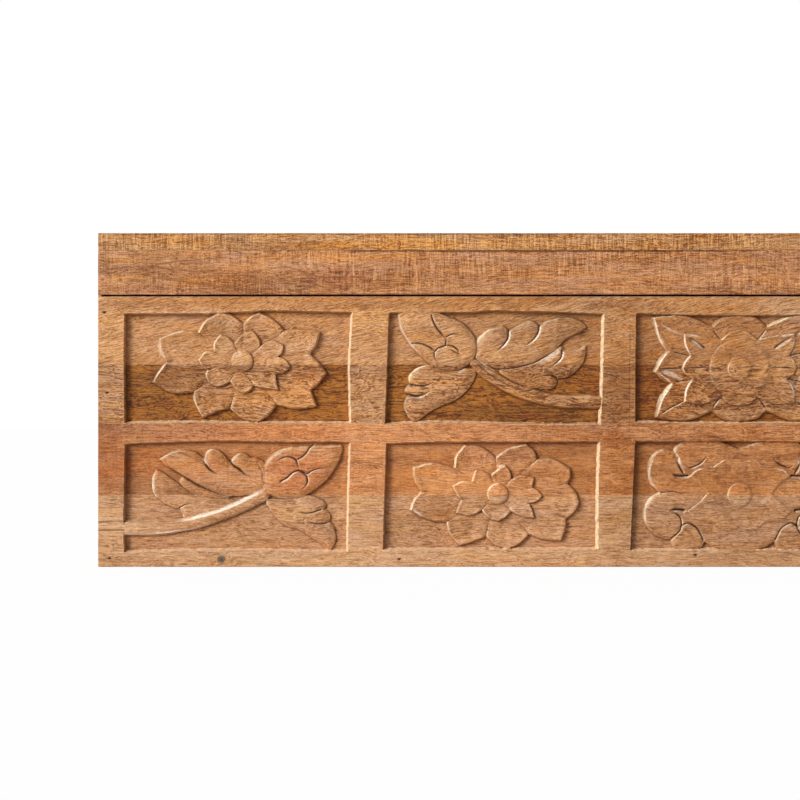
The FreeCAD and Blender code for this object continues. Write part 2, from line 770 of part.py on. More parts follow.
back_rail_tools = hollows + mortises["lid"] + [bevels[RIM], holes["lid_hinge_screws"]]
RAIL_SIZE = ("chest_width", "skirt_thick", "skirt_height")
SIDE_RAIL_SIZE = ("skirt_thick", "chest_depth - 2 * skirt_thick", "skirt_height")
BATTEN_SIZE = ("batten_width", "chest_depth - 2 * skirt_thick", "batten_thick")
INSIDE_FRONT_RAIL = "skirt_thick - chest_depth / 2"
BATTEN_BOTTOM = f"{RIM} + skirt_height - batten_thick"
RAILS = {
    "lid_front_rail": (("-chest_width / 2", "-chest_depth / 2", RIM), RAIL_SIZE, []),
    "lid_back_rail": (("-chest_width / 2", "chest_depth / 2 - skirt_thick", RIM), RAIL_SIZE, back_rail_tools),
    "lid_left_rail": (("-chest_width / 2", INSIDE_FRONT_RAIL, RIM), SIDE_RAIL_SIZE, []),
    "lid_right_rail": (("chest_width / 2 - skirt_thick", INSIDE_FRONT_RAIL, RIM), SIDE_RAIL_SIZE, []),
    "lid_batten_left": (("-batten_offset - batten_width / 2", INSIDE_FRONT_RAIL, BATTEN_BOTTOM), BATTEN_SIZE, []),
    "lid_batten_right": (("batten_offset - batten_width / 2", INSIDE_FRONT_RAIL, BATTEN_BOTTOM), BATTEN_SIZE, []),
}
for name, (start, extent, tools) in RAILS.items():
    keep(cut(f"{name}_cut", box(f"{name}_blank", start, extent), tools + [holes["lid_nails"]]), name)


# Checks before anything is written

doc.recompute()
for piece in doc.Objects:
    if {"Invalid", "Error"} & set(piece.State):
        raise RuntimeError(f"{piece.Label} could not be worked out")
for piece in nodes:
    if piece.Shape.isNull() or not piece.Shape.isValid():
        raise RuntimeError(f"{piece.Label} has no sound shape")
for piece in nodes:
    piece.Shape.exportStep(f"parts/{piece.Label}.step")
    print(f"{piece.Label}: {len(piece.Shape.Solids)} solid, {piece.Shape.Volume / 1000:.1f} cubic centimetres")
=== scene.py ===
"""Carved wooden chest with a hinged lid: what it looks like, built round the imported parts.

The carving is laid out in pixels of the photograph and cut into the four boards of the front.
"""
from __future__ import annotations
import logging
import math
from collections.abc import Sequence
from dataclasses import dataclass, field
from enum import Enum
from typing import Any

import bpy
import numpy as np
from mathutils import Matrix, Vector


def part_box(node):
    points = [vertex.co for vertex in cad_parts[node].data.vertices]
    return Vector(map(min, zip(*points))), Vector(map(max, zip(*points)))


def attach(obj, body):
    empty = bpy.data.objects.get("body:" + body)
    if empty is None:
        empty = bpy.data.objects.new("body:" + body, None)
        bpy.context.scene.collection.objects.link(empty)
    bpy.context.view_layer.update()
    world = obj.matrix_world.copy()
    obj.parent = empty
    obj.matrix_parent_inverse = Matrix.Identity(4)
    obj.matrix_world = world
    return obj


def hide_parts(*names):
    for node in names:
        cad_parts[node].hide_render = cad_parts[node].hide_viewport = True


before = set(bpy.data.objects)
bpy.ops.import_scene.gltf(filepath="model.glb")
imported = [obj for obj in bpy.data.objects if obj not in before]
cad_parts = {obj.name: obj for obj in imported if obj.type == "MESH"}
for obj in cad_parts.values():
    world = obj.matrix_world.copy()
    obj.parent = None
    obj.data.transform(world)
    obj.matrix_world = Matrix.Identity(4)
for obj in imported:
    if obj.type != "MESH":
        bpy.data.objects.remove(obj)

log = logging.getLogger("chest")

MM = 0.001
WHITE = (1.0, 1.0, 1.0, 1.0)
Array = np.ndarray
Piece = bpy.types.Object
Material = bpy.types.Material
Pixel = tuple[float, float]
Points = tuple[Pixel, ...]
Tint = tuple[float, float, float]
Spot = tuple[float, float, float]


# Photograph and carving

@dataclass(frozen=True)
class PhotoPlane:
    """Turns pixels of the photograph into millimetres on the chest's front."""

    left_pixel: float = 98.0
    base_pixel: float = 567.0
    pixel: float = 390.0 / 334.0
    left_edge: float = -450.0
    front: float = -200.0

    def x(self, across: float) -> float:
        """Place along the front, in millimetres, of a pixel column."""
        return (across - self.left_pixel) * self.pixel + self.left_edge

    def z(self, down: float) -> float:
        """Height above the floor, in millimetres, of a pixel row."""
        return (self.base_pixel - down) * self.pixel

    def line(self, points: Sequence[Pixel]) -> Array:
        """Places in millimetres of a row of pixels."""
        return np.array([(self.x(across), self.z(down)) for across, down in points])


PLANE = PhotoPlane()


def smooth_line(points: Array, step: float = 2.4) -> Array:
    """Draws a smooth curve through the points of one stroke.

    Args:
        points: The points that the curve goes through.
        step: Rough distance between the drawn points, in millimetres.

    Returns:
        The curve's points, ends included.
    """
    if len(points) < 3:
        return points
    padded = np.vstack((2 * points[0] - points[1], points, 2 * points[-1] - points[-2]))
    drawn = [points[:1]]
    for number in range(len(points) - 1):
        before, start, end, after = padded[number:number + 4]
        count = max(2, int(np.linalg.norm(end - start) / step) + 1)
        t = (np.arange(1, count + 1) / count)[:, None]
        square = (2 * before - 5 * start + 4 * end - after) * t ** 2
        cube = (3 * start - before - 3 * end + after) * t ** 3
        drawn.append(0.5 * (2 * start + (end - before) * t + square + cube))
    return np.vstack(drawn)


def closed_ring(strokes: Sequence[Points]) -> Array:
    """Joins strokes that meet in corners into one closed edge.

    Args:
        strokes: Each stroke's points, in pixels. A stroke ends where the next one starts.

    Returns:
        The edge's points in millimetres, without the first point's repeat.
    """
    following = (*strokes[1:], strokes[0])
    joined = [(*stroke, after[0]) for stroke, after in zip(strokes, following)]
    return np.vstack([smooth_line(PLANE.line(whole))[:-1] for whole in joined])


def wavered(ring: Array, seed: int, amount: float) -> Array:
    """Makes an edge a little uneven, as a chisel held by hand leaves it.

    Args:
        ring: The edge's points.
        seed: Seed of the unevenness.
        amount: How far the edge strays, in millimetres.

    Returns:
        The uneven edge.
    """
    sway = [Ripple(wave, seed + number).at(ring) for number, wave in enumerate((8.0, 11.0))]
    return ring + np.stack(sway, 1) * amount


def arcs(ring: Points) -> tuple[Points, ...]:
    """Splits a ring whose every second point is the middle of an arc into its arcs."""
    return tuple(ring[number:number + 2] for number in range(0, len(ring), 2))


def nearest(points: Array, line: Array) -> tuple[Array, Array, Array]:
    """Finds the closest place of a line for many points.

    Args:
        points: Where to start from, one row each.
        line: The line's points, in order. A closed line repeats its first point.

    Returns:
        The distance, the way to the closest place, and how far along the line that place is, from 0 to 1.
    """
    starts = line[:-1]
    sides = line[1:] - starts
    lengths = np.maximum((sides ** 2).sum(1), 1e-12)
    travelled = np.concatenate(((0.0,), np.cumsum(np.sqrt(lengths))))
    distance, offset, along = np.empty(len(points)), np.empty((len(points), 2)), np.empty(len(points))
    block = 6000
    for first in range(0, len(points), block):
        part = slice(first, first + block)
        dx = points[part, 0, None] - starts[:, 0]
        dz = points[part, 1, None] - starts[:, 1]
        share = np.clip((dx * sides[:, 0] + dz * sides[:, 1]) / lengths, 0, 1)
        dx = share * sides[:, 0] - dx
        dz = share * sides[:, 1] - dz
        squared = dx ** 2 + dz ** 2
        best = squared.argmin(1)
        row = np.arange(len(best))
        distance[part] = np.sqrt(squared[row, best])
        offset[part] = np.stack((dx[row, best], dz[row, best]), 1)
        along[part] = (travelled[best] + share[row, best] * np.sqrt(lengths[best])) / travelled[-1]
    return distance, offset, along


def within(places: Array, line: Array, reach: float) -> Array:
    """Tells which places lie in the box round a line, widened by a reach."""
    return ((places >= line.min(0) - reach) & (places <= line.max(0) + reach)).all(1)


def towards(ways: Array) -> Array:
    """How far each way points to the upper left, towards the key light, from -1 to 1."""
    return (ways @ np.array((-0.83, 0.56))) / np.maximum(np.linalg.norm(ways, axis=1), 0.2)


def shadow_side(ways: Array) -> Array:
    """How much painted shade, with some dirt, falls beside an edge: more where the edge lies to the upper
    left, between a place and the light.
    """
    return np.clip(0.6 + 0.6 * towards(ways), 0.25, 1)


def into(points: Array, ring: Array) -> tuple[Array, Array]:
    """How far points lie inside a closed edge.

    Args:
        points: The points to test, one row each.
        ring: The edge's points.

    Returns:
        The distance to the edge, below 0 outside it, and the way to the edge.
    """
    inside = np.zeros(len(points), bool)
    for start, end in zip(ring, np.roll(ring, -1, 0)):
        if start[1] == end[1]:
            continue
        crosses = (start[1] > points[:, 1]) != (end[1] > points[:, 1])
        share = (points[:, 1] - start[1]) / (end[1] - start[1])
        inside ^= crosses & (points[:, 0] < start[0] + share * (end[0] - start[0]))
    distance, offset, _ = nearest(points, np.vstack((ring, ring[:1])))
    return np.where(inside, distance, -distance), offset


@dataclass(frozen=True)
class Ripple:
    """A gentle unevenness made of a few waves, with values from about -1 to 1."""

    wave: float
    seed: int
    stretch: tuple[float, ...] = (1.0, 1.0)
    count: int = 14

    def at(self, places: Array) -> Array:
        """Height of the unevenness.

        Args:
            places: The places in millimetres, one row each.

        Returns:
            One height for each place.
        """
        chance = np.random.default_rng(self.seed)
        scaled = places / np.array(self.stretch)
        total = np.zeros(len(places))
        for _ in range(self.count):
            way = chance.normal(size=places.shape[1])
            way *= 2 * math.pi / (self.wave * chance.uniform(0.6, 1.7)) / np.linalg.norm(way)
            total += np.sin(scaled @ way + chance.uniform(0, 2 * math.pi))
        return total / math.sqrt(self.count)


class Crown(Enum):
    """How a raised form's top falls towards its edge."""

    DOME = "dome"
    ROOF = "roof"
    BALL = "ball"

    def fall(self, share: Array) -> Array:
        """Drop at a share of the way from the edge.

        Args:
            share: 0 at the edge and 1 where the top is reached.

        Returns:
            The drop, from 1 at the edge to 0.
        """
        left = 1 - np.clip(share, 0, 1)
        if self is Crown.ROOF:
            return left
        return 1 - np.sqrt(np.clip(1 - left ** 2, 0, 1)) if self is Crown.BALL else left ** 2


@dataclass(frozen=True)
class Form:
    """A raised form of the carving. Depths are millimetres below the front's face."""

    strokes: tuple[Points, ...]
    top: float
    fall: float = 0.7
    reach: float = 2.2
    crown: Crown = Crown.DOME
    steep: float = 3.2
    lean: Pixel = (0.0, 0.0)
    dish: float = 0.0
    dish_radius: float = 20.0
    hollow: float = 0.0
    hollow_reach: float = 8.0

    def below(self, inner: Array, away: Array, uneven: Array) -> Array:
        """Depth of the form's top.

        Args:
            inner: Distance from the form's edge, inwards.
            away: Way from the form's middle.
            uneven: What is added for unevenness.

        Returns:
            The depth at each place.
        """
        top = self.top + away @ np.array(self.lean)
        top = top + self.fall * self.crown.fall(inner / self.reach) + uneven
        if self.dish:
            share = np.linalg.norm(away, axis=1) / self.dish_radius
            top = top + self.dish * np.clip(1 - share ** 2, 0, 1)
        if self.hollow:
            share = np.clip(inner / self.hollow_reach, 0, 1)
            top = top + self.hollow * share ** 2 * (3 - 2 * share)
        return top


@dataclass(frozen=True)
class Groove:
    """A cut made with a knife or a V-tool along a line of pixels."""

    points: Points
    depth: float = 1.6
    half_width: float = 1.9
    fade: Pixel = (0.25, 0.25)
    # How strong the painted highlight on the cut's wall facing the light is.
    pale: float = 0.4

    def under(self, places: Array) -> tuple[Array, Array, Array, Array]:
        """Finds the places under the cut.

        Args:
            places: The places in millimetres.

        Returns:
            Their numbers, their way to the middle line, how near to it they are, from 0 to 1, and the cut's
            taper there.
        """
        line = smooth_line(PLANE.line(self.points))
        close = np.flatnonzero(within(places, line, self.half_width))
        if not len(close):
            return close, np.zeros((0, 2)), np.zeros(0), np.zeros(0)
        distance, offset, along = nearest(places[close], line)
        taper = np.ones(len(close))
        for fade, run in zip(self.fade, (along, 1 - along)):
            if fade:
                taper = np.minimum(taper, run / fade)
        taper = np.clip(taper, 0, 1) ** 0.8
        side = np.clip(1 - distance / (self.half_width * (0.35 + 0.65 * taper)), 0, 1)
        return close, offset, side, taper


@dataclass(frozen=True)
class Motif:
    """What is left standing in one cell, the cuts in it, and the pale lines: wood bared by a late cut, and
    painted highlights along rims turned to the light.
    """

    forms: tuple[Form, ...]
    grooves: tuple[Groove, ...] = ()
    bare_and_highlight: tuple[Groove, ...] = ()


# Marks read by the front's finish: the dark at wall feet and near forms is painted shade with some dirt,
# the dark in narrow cuts is painted shadow, and the pale lines are painted highlights with some bared wood.
MARKS = ("edge", "foot", "raised", "wall", "cut_shadow", "bare_and_highlight", "dirt_and_shade")


@dataclass
class Surface:
    """What the carving gives at many places: depth, marks, and the way to the nearest sharp line."""

    places: Array
    depth: Array
    marks: dict[str, Array]
    pull: Array
    rim: Array

    @staticmethod
    def plain(places: Array) -> Surface:
        """An uncut surface at the given places."""
        count = len(places)
        marks = {name: np.zeros(count) for name in MARKS}
        return Surface(places, np.zeros(count), marks, np.full((count, 2), np.nan), np.zeros(count))

    def raise_mark(self, name: str, close: Any, values: Array) -> None:
        """Raises a mark at some places to new values, where these are higher."""
        self.marks[name][close] = np.maximum(self.marks[name][close], values)


@dataclass(frozen=True)
class Cell:
    """One sunk panel of the front with its carving."""

    strokes: tuple[Points, ...]
    motif: Motif
    floor: float = 10.0
    run: float = 2.2
    line_width: float = 0.75
    snap: float = 0.42
    margin: float = 4.0
    roughness: float = 0.16
    # How far the painted shade with some dirt reaches from walls and forms, and how wide it is at their
    # feet.
    dirt_and_shade_reach: float = 5.6
    foot_width: float = 0.8
    widest_knife: float = 3.4
    narrowest_bowl: float = 6.0
    waver: float = 0.24
    form_shadow: float = 1.4
    seed: int = 1

    def ring(self) -> Array:
        """The cell's edge in millimetres."""
        return wavered(closed_ring(self.strokes), self.seed * 40, self.waver)

    def near(self, places: Array) -> Array:
        """Tells which places the cell may touch."""
        return within(places, self.ring(), self.margin)

    def cut(self, places: Array) -> Surface:
        """Works out the carving at places near the cell.

        Args:
            places: The places in millimetres.

        Returns:
            The surface there.
        """
        found = Surface.plain(places)
        rim, offset = into(places, self.ring())
        found.rim = rim
        gouges = Ripple(9.0, self.seed, (2.2, 1.0)).at(places)
        fine = Ripple(4.2, self.seed + 50, (1.8, 1.0)).at(places)
        share = np.clip(rim / self.run, 0, 1)
        tooled = gouges * self.roughness * 1.3 + fine * 0.08 - 0.1
        found.depth = share * self.floor + tooled * (share >= 1)
        # Painted shade with some dirt on the floor near the walls and at their feet, on the side away from
        # the light.
        shadow_share = shadow_side(offset)
        found.marks["edge"] = np.exp(-(rim / self.line_width) ** 2)
        found.marks["wall"] = ((rim > -0.2) & (rim < self.run + 0.3)).astype(float)
        dirt_and_shade = np.exp(-np.clip(rim - self.run, 0, None) / self.dirt_and_shade_reach)
        found.marks["dirt_and_shade"] = dirt_and_shade * (rim > 0.3) * shadow_share
        found.marks["foot"] = np.exp(-np.abs(rim - self.run) / self.foot_width) * (rim > 0) * shadow_share
        self._pull(found, np.arange(len(places)), offset, True)
        for number, form in enumerate(self.motif.forms):
            self._raise(found, form, number)
        for groove in self.motif.grooves:
            self._groove(found, groove)
        for line in self.motif.bare_and_highlight:
            close, _, side, taper = line.under(places)
            found.raise_mark("bare_and_highlight", close, np.clip(side * 1.6, 0, 1) * taper * line.depth)
        found.depth = np.clip(found.depth, 0, self.floor + 0.4)
        return found

    def _raise(self, found: Surface, form: Form, number: int) -> None:
        """Adds one raised form.

        Args:
            found: The surface so far, which is changed.
            form: The form to add.
            number: The form's number in the cell, for its own unevenness.
        """
        waver = self.waver * (0.3 if form.crown is Crown.BALL else 0.8)
        ring = wavered(closed_ring(form.strokes), self.seed * 60 + number * 3, waver)
        box = within(found.places, ring, self.margin + self.dirt_and_shade_reach)
        close = np.flatnonzero(box & (found.rim > -self.margin))
        if not len(close):
            return
        here, rim, before = found.places[close], found.rim[close], found.depth[close]
        inner, offset = into(here, ring)
        uneven = Ripple(11.0, self.seed * 20 + number).at(here) * self.roughness
        top = form.below(inner, here - ring.mean(0), uneven)
        level = np.maximum(top + np.where(inner < 0, -inner * form.steep, 0.0), 0.05)
        wins = level < before
        on_top = wins & (inner > -0.3)
        shown = top < before + 0.15
        flush = (inner > 1.2) & (top < 0.6) & (np.abs(rim) < self.run + 0.5)
        marks = {name: values[close] for name, values in found.marks.items()}
        line = np.exp(-(inner / self.line_width) ** 2) * shown
        edge = np.where(wins, np.maximum(line, marks["edge"] * (rim < 1)), marks["edge"])
        marks["edge"] = np.where(flush, 0, np.maximum(edge, line * (rim > 0.5)))
        marks["raised"] = np.where(on_top, 1.0, marks["raised"])
        marks["wall"] = marks["wall"] * ~wins
        # Painted shade with some dirt round the form and at its foot, on the side away from the light.
        shadow_share = shadow_side(offset)
        shade = np.exp(np.clip(inner, None, 0) / self.dirt_and_shade_reach) * (level > before)
        shade = shade * shadow_share * self.form_shadow
        marks["dirt_and_shade"] = np.where(on_top, 0, np.maximum(marks["dirt_and_shade"], shade * (rim > 0.5)))
        beside = np.exp(-np.maximum(level - before, 0) / form.steep / self.foot_width) * shadow_share
        beside = beside * (~wins | (inner < 0)) * (before - level < 1.2) * self.form_shadow
        step = (inner < 0) & (-inner * form.steep > 0.8)
        foot = np.where(step, beside, marks["foot"] * ~(wins & (inner > 0.4)))
        marks["foot"] = np.where(flush, 0, np.maximum(np.where(wins, 0, marks["foot"]), foot))
        for name, values in marks.items():
            found.marks[name][close] = values
        self._pull(found, close, offset, shown & (rim > 0.4))
        found.depth[close] = np.where(wins, level, before)

    def _groove(self, found: Surface, groove: Groove) -> None:
        """Adds one knife cut.

        Args:
            found: The surface so far, which is changed.
            groove: The cut.
        """
        close, offset, side, taper = groove.under(found.places)
        if not len(close):
            return
        profile = side if groove.half_width < self.narrowest_bowl else side ** 2 * (3 - 2 * side)
        found.depth[close] = np.minimum(found.depth[close] + groove.depth * taper * profile, self.floor)
        if groove.half_width < self.widest_knife:
            # Painted shadow along the core and shaded wall of a narrow cut, and a painted highlight on its
            # wall facing the light.
            lit = np.clip(towards(offset) * 1.3, 0, 1)
            cut_shadow = np.clip(side * 2.2 - 0.45, 0, 1) * taper * min(1.0, groove.depth / 1.5)
            found.raise_mark("cut_shadow", close, cut_shadow * (1 - lit * (side < 0.8)))
            shine = np.clip(side * 3.0 - 0.2, 0, 1) * (side < 0.85) * lit * taper * groove.pale
            found.raise_mark("bare_and_highlight", close, shine)
            self._pull(found, close, offset, (taper > 0.15) & (found.rim[close] > 0.5))

    def _pull(self, found: Surface, close: Array, ways: Array, chosen: Any) -> None:
        """Notes the way to a sharp line for the places that are closest to it.

        Args:
            found: The surface whose pull is changed.
            close: The numbers of the places.
            ways: The way from each of them to the line.
            chosen: Which of them the line may draw in.
        """
        take = chosen & ((ways ** 2).sum(1) < np.abs(ways).max(1) * self.snap)
        found.pull[close[take]] = ways[take]


STAR_MIDDLE = 740.0
ROUND_PETALS: Points = (
    (243, 325), (232, 316), (219, 313), (206, 321), (198, 333), (179, 332), (160, 339), (161, 350),
    (167, 362), (159, 372), (153, 382), (171, 392), (194, 391), (196, 404), (203, 417), (217, 411),
    (230, 408), (242, 418), (257, 422), (268, 415), (276, 404), (294, 408), (316, 406), (313, 398),
    (310, 390), (319, 382), (326, 373), (319, 364), (309, 354), (316, 344), (319, 332), (300, 330),
    (284, 331), (273, 320), (259, 313), (251, 317),
)
ROUND_INNER: Points = (
    (234, 344), (228, 338), (221, 335), (215, 342), (214, 352), (206, 352), (199, 360), (203, 367),
    (208, 370), (206, 375), (209, 382), (218, 386), (230, 381), (236, 389), (244, 393), (250, 390),
    (253, 385), (265, 388), (278, 389), (276, 381), (275, 374), (284, 372), (290, 367), (285, 360),
    (277, 357), (282, 352), (283, 345), (271, 341), (260, 347), (258, 338), (252, 331), (242, 335),
)
BOLD_PETALS: Points = (
    (496, 458), (482, 448), (465, 446), (457, 456), (455, 469), (434, 464), (414, 468), (415, 480),
    (422, 492), (415, 500), (411, 510), (428, 519), (447, 522), (451, 535), (460, 545), (474, 541),
    (486, 536), (496, 545), (508, 549), (520, 543), (529, 534), (544, 539), (561, 540), (565, 529),
    (566, 518), (574, 512), (579, 502), (575, 492), (567, 484), (570, 477), (570, 469), (554, 460),
    (537, 460), (534, 451), (527, 445), (511, 449),
)
BOLD_INNER: Points = (
    (491, 476), (484, 472), (476, 471), (474, 477), (473, 482), (463, 482), (453, 486), (457, 494),
    (462, 500), (459, 506), (457, 513), (470, 515), (482, 510), (489, 518), (498, 521), (505, 517),
    (511, 511), (522, 516), (534, 518), (532, 510), (528, 503), (537, 501), (542, 496), (538, 491),
    (532, 488), (533, 483), (534, 478), (522, 476), (511, 480), (510, 472), (505, 466), (497, 471),
)
STAR_PETALS: Points = (
    (740, 316), (724, 318), (713, 327), (684, 316), (654, 318), (660, 336), (670, 351), (661, 360),
    (656, 371), (663, 379), (673, 383), (662, 398), (657, 417), (686, 420), (713, 410), (724, 418),
    (740, 421),
)
STAR_INNER: Points = (
    (740, 330), (730, 333), (722, 340), (703, 336), (685, 334), (686, 345), (691, 356), (686, 361),
    (683, 368), (686, 374), (693, 379), (687, 390), (685, 402), (703, 404), (722, 397), (730, 404),
    (740, 406),
)


def mirrored(half: Points) -> Points:
    """Adds the mirror image of a left half about the star's middle."""
    return half + tuple((2 * STAR_MIDDLE - across, down) for across, down in reversed(half))[1:-1]


def pairs(*rows: tuple, **named: Any) -> tuple[Groove, ...]:
    """Cuts and their mirror images about the star's middle.

    Args:
        rows: The points and sizes of each cut.
        named: Sizes that all of them share.

    Returns:
        Two cuts for each row.
    """
    made = []
    for points, *sizes in rows:
        other = tuple((2 * STAR_MIDDLE - across, down) for across, down in points)
        made += [Groove(points, *sizes, **named), Groove(other, *sizes, **named)]
    return tuple(made)


def creases(ring: Points, middle: Pixel, length: float, *sizes: float) -> tuple[Groove, ...]:
    """Short cuts that run from the notches of a flower, every fourth point, towards its middle.

    Args:
        ring: The ring of petals.
        middle: The flower's middle, in pixels.
        length: The cuts' length, in pixels.
        sizes: Their depth and half their width.

    Returns:
        One cut for each notch.
    """
    made = []
    for across, down in ring[0::4]:
        away = math.hypot(middle[0] - across, middle[1] - down)
        step = ((middle[0] - across) / away, (middle[1] - down) / away)
        stops = [part * length for part in (0, 0.5, 1)]
        points = tuple((across + step[0] * stop, down + step[1] * stop) for stop in stops)
        made.append(Groove(points, *sizes, (0.0, 0.8)))
    return tuple(made)


def bowls(ring: Points, middle: Pixel, *sizes: float) -> tuple[Groove, ...]:
    """A shallow bowl in each petal of a flower.

    Args:
        ring: The ring of petals.
        middle: The flower's middle, in pixels.
        sizes: The bowls' depth and half their width.

    Returns:
        One bowl for each petal.
    """
    made = []
    for across, down in ring[2::4]:
        way = (across - middle[0], down - middle[1])
        points = tuple((middle[0] + way[0] * part, middle[1] + way[1] * part) for part in (0.52, 0.7, 0.9))
        made.append(Groove(points, *sizes, (0.4, 0.45)))
    return tuple(made)


def disc(middle: Pixel, radius: float) -> tuple[Points, ...]:
    """The edge of a round button, in pixels, as eight arcs."""
    ways = [(math.cos(turn), math.sin(turn)) for turn in (math.pi * number / 8 for number in range(16))]
    return arcs(tuple((middle[0] + radius * way[0], middle[1] + radius * way[1]) for way in ways))


ROUND_FLOWER = Motif(forms=(
    Form(arcs(ROUND_PETALS), 2.0, 0.8, 1.0, steep=4.4, dish=2.8, dish_radius=68.0, hollow=1.9,
         hollow_reach=8.0),
    Form(arcs(ROUND_INNER), 0.4, 0.6, 0.9, steep=4.6, dish=3.2, dish_radius=26.0, hollow=1.5,
         hollow_reach=5.0),
    Form(disc((242, 361), 10.9), 0.15, 3.0, 12.6, Crown.BALL, 5.0),
), grooves=(
    *bowls(ROUND_PETALS, (242, 361), 1.5, 11.0),
    *creases(ROUND_PETALS, (242, 361), 30, 1.9, 4.6),
    *creases(ROUND_PETALS, (242, 361), 13, 0.6, 1.5),
    *creases(ROUND_INNER, (242, 361), 14, 1.5, 3.6),
    *creases(ROUND_INNER, (242, 361), 8, 0.5, 1.4),
), bare_and_highlight=(
    Groove(((157, 341), (160, 350), (165.5, 360)), 0.45, 3.0, (0.2, 0.2)),
    Groove(((153, 381), (159, 371), (165, 363)), 0.4, 2.0, (0.2, 0.2)),
    Groove(((163, 336.5), (178, 332), (190, 331)), 0.4, 1.6, (0.2, 0.3)),
    Groove(((192, 393), (194.5, 402), (201, 415)), 0.45, 1.5, (0.2, 0.3)),
    # A painted highlight on the button's upper left.
    Groove(((236, 358), (238.5, 354.5), (243, 353)), 0.3, 4.5, (0.3, 0.3)),
))
BOLD_FLOWER = Motif(forms=(
    Form(arcs(BOLD_PETALS), 2.6, 0.8, 1.2, steep=4.0, dish=2.5, dish_radius=68.0, hollow=1.7,
         hollow_reach=8.0),
    Form(arcs(BOLD_INNER), 0.7, 0.6, 0.9, steep=4.4, dish=3.0, dish_radius=26.0, hollow=1.4,
         hollow_reach=5.0),
    Form(disc((498, 494), 10.4), 0.15, 3.0, 12.0, Crown.BALL, 5.0),
), grooves=(
    *bowls(BOLD_PETALS, (498, 494), 1.2, 10.0),
    *creases(BOLD_PETALS, (498, 494), 28, 1.7, 4.6),
    *creases(BOLD_PETALS, (498, 494), 13, 0.6, 1.5),
    *creases(BOLD_INNER, (498, 494), 14, 1.4, 3.6),
    *creases(BOLD_INNER, (498, 494), 8, 0.5, 1.4),
), bare_and_highlight=(
    Groove(((497, 467), (504, 465)), 0.9, 1.3, (0.3, 0.3)),
    Groove(((413, 508), (417, 513), (425, 518)), 0.5, 2.2, (0.2, 0.3)),
))
STAR_FLOWER = Motif(forms=(
    Form(arcs(mirrored(STAR_PETALS)), 2.8, 0.9, 1.6, steep=2.8, hollow=1.2,
         hollow_reach=10.0),
    Form(arcs(mirrored(STAR_INNER)), 1.4, 0.8, 1.4, steep=2.6, dish=1.0, dish_radius=40.0,
         hollow=1.0, hollow_reach=8.0),
    Form(disc((STAR_MIDDLE, 368), 30), 1.6, 1.0, 3.0, steep=2.4, dish=1.4, dish_radius=26.0),
    Form(disc((STAR_MIDDLE, 368), 12), 0.15, 2.4, 13.0, Crown.BALL, 3.6),
), grooves=pairs(
    (((657, 320), (670, 327), (684, 335)), 2.3, 3.6),
    (((658, 369), (670, 368.8), (684, 368.2)), 1.2, 1.6),
    (((664, 371.5), (674, 374.5), (683, 380)), 1.6, 4.6),
    (((659, 416), (671, 408), (684, 401.5)), 1.5, 1.6),
    (((671, 351), (678, 353), (690, 356)), 1.2, 1.8),
    (((674, 383), (681, 381.5), (692, 379.5)), 1.2, 1.8),
    (((713, 328), (716, 333), (721, 339)), 1.2, 1.8),
    (((713, 409), (716, 404), (721, 398)), 1.2, 1.8),
    (((688, 337), (697, 343), (706, 349)), 2.0, 3.2),
    (((686, 368), (696, 367.8), (708, 367.5)), 1.2, 1.6),
    fade=(0.25, 0.12),
), bare_and_highlight=pairs(
    (((659, 322), (669, 328.5), (684, 335.5)), 0.5, 1.9),
    (((662, 371), (673, 374.5), (682, 379.5)), 0.55, 3.6),
    (((690, 338.5), (696, 343), (705, 350)), 0.5, 2.0),
    (((686, 334), (694, 335.5), (702, 337)), 0.5, 1.1),
    (((654.6, 317), (659.5, 337), (668.3, 351.5)), 0.95, 1.2),
    (((668.3, 351.5), (661.5, 361), (657, 371)), 0.95, 1.2),
    (((657, 371), (665, 377.5), (674, 383.5)), 0.6, 1.0),
    (((674, 383.5), (663.5, 398), (657.2, 417)), 0.95, 1.3),
    (((684.5, 334), (686, 345), (691, 355.5)), 0.8, 1.1),
    (((691, 355.5), (685.5, 362), (682.5, 369)), 0.8, 1.1),
    (((692.5, 379), (686.5, 390), (685, 402.5)), 0.9, 1.2),
    fade=(0.2, 0.3),
))
ROSETTE_LOBES: tuple[Points, ...] = (
    ((682, 443), (688, 440.5), (698, 440), (708, 440.5), (718, 442), (728, 445), (740, 449), (752, 445),
     (762, 442), (772, 440.5), (782, 440), (792, 440.5)),
    ((798, 443), (803, 448), (804, 454)),
    ((802, 458), (806, 452), (815, 450), (824, 454), (830, 463), (830, 474), (826, 484)),
    ((819, 493), (828, 500), (834, 511), (833, 524), (825, 534), (815, 538.5)),
    ((808, 539), (806, 546), (799, 550.5), (790, 551.5), (780, 549)),
    ((775, 541), (764, 548), (752, 551.5), (740, 552), (728, 551.5), (716, 548)),
    ((705, 541), (700, 549), (690, 551.5), (681, 550.5), (674, 546)),
    ((672, 539), (665, 538.5), (655, 534), (647, 524), (645.5, 511), (651, 500)),
    ((661, 493), (653.5, 484), (650, 474), (650, 463), (656, 454), (665, 450), (674, 452)),
    ((678, 458), (675.5, 454), (677, 448)),
)
ROSETTE_INNER: Points = (
    (740, 463), (726, 460), (714, 467), (701, 468.5), (690, 476.5), (700, 484), (708, 493.5), (699, 503),
    (688, 511.5), (697, 519), (713, 521), (726, 530), (740, 527),
)
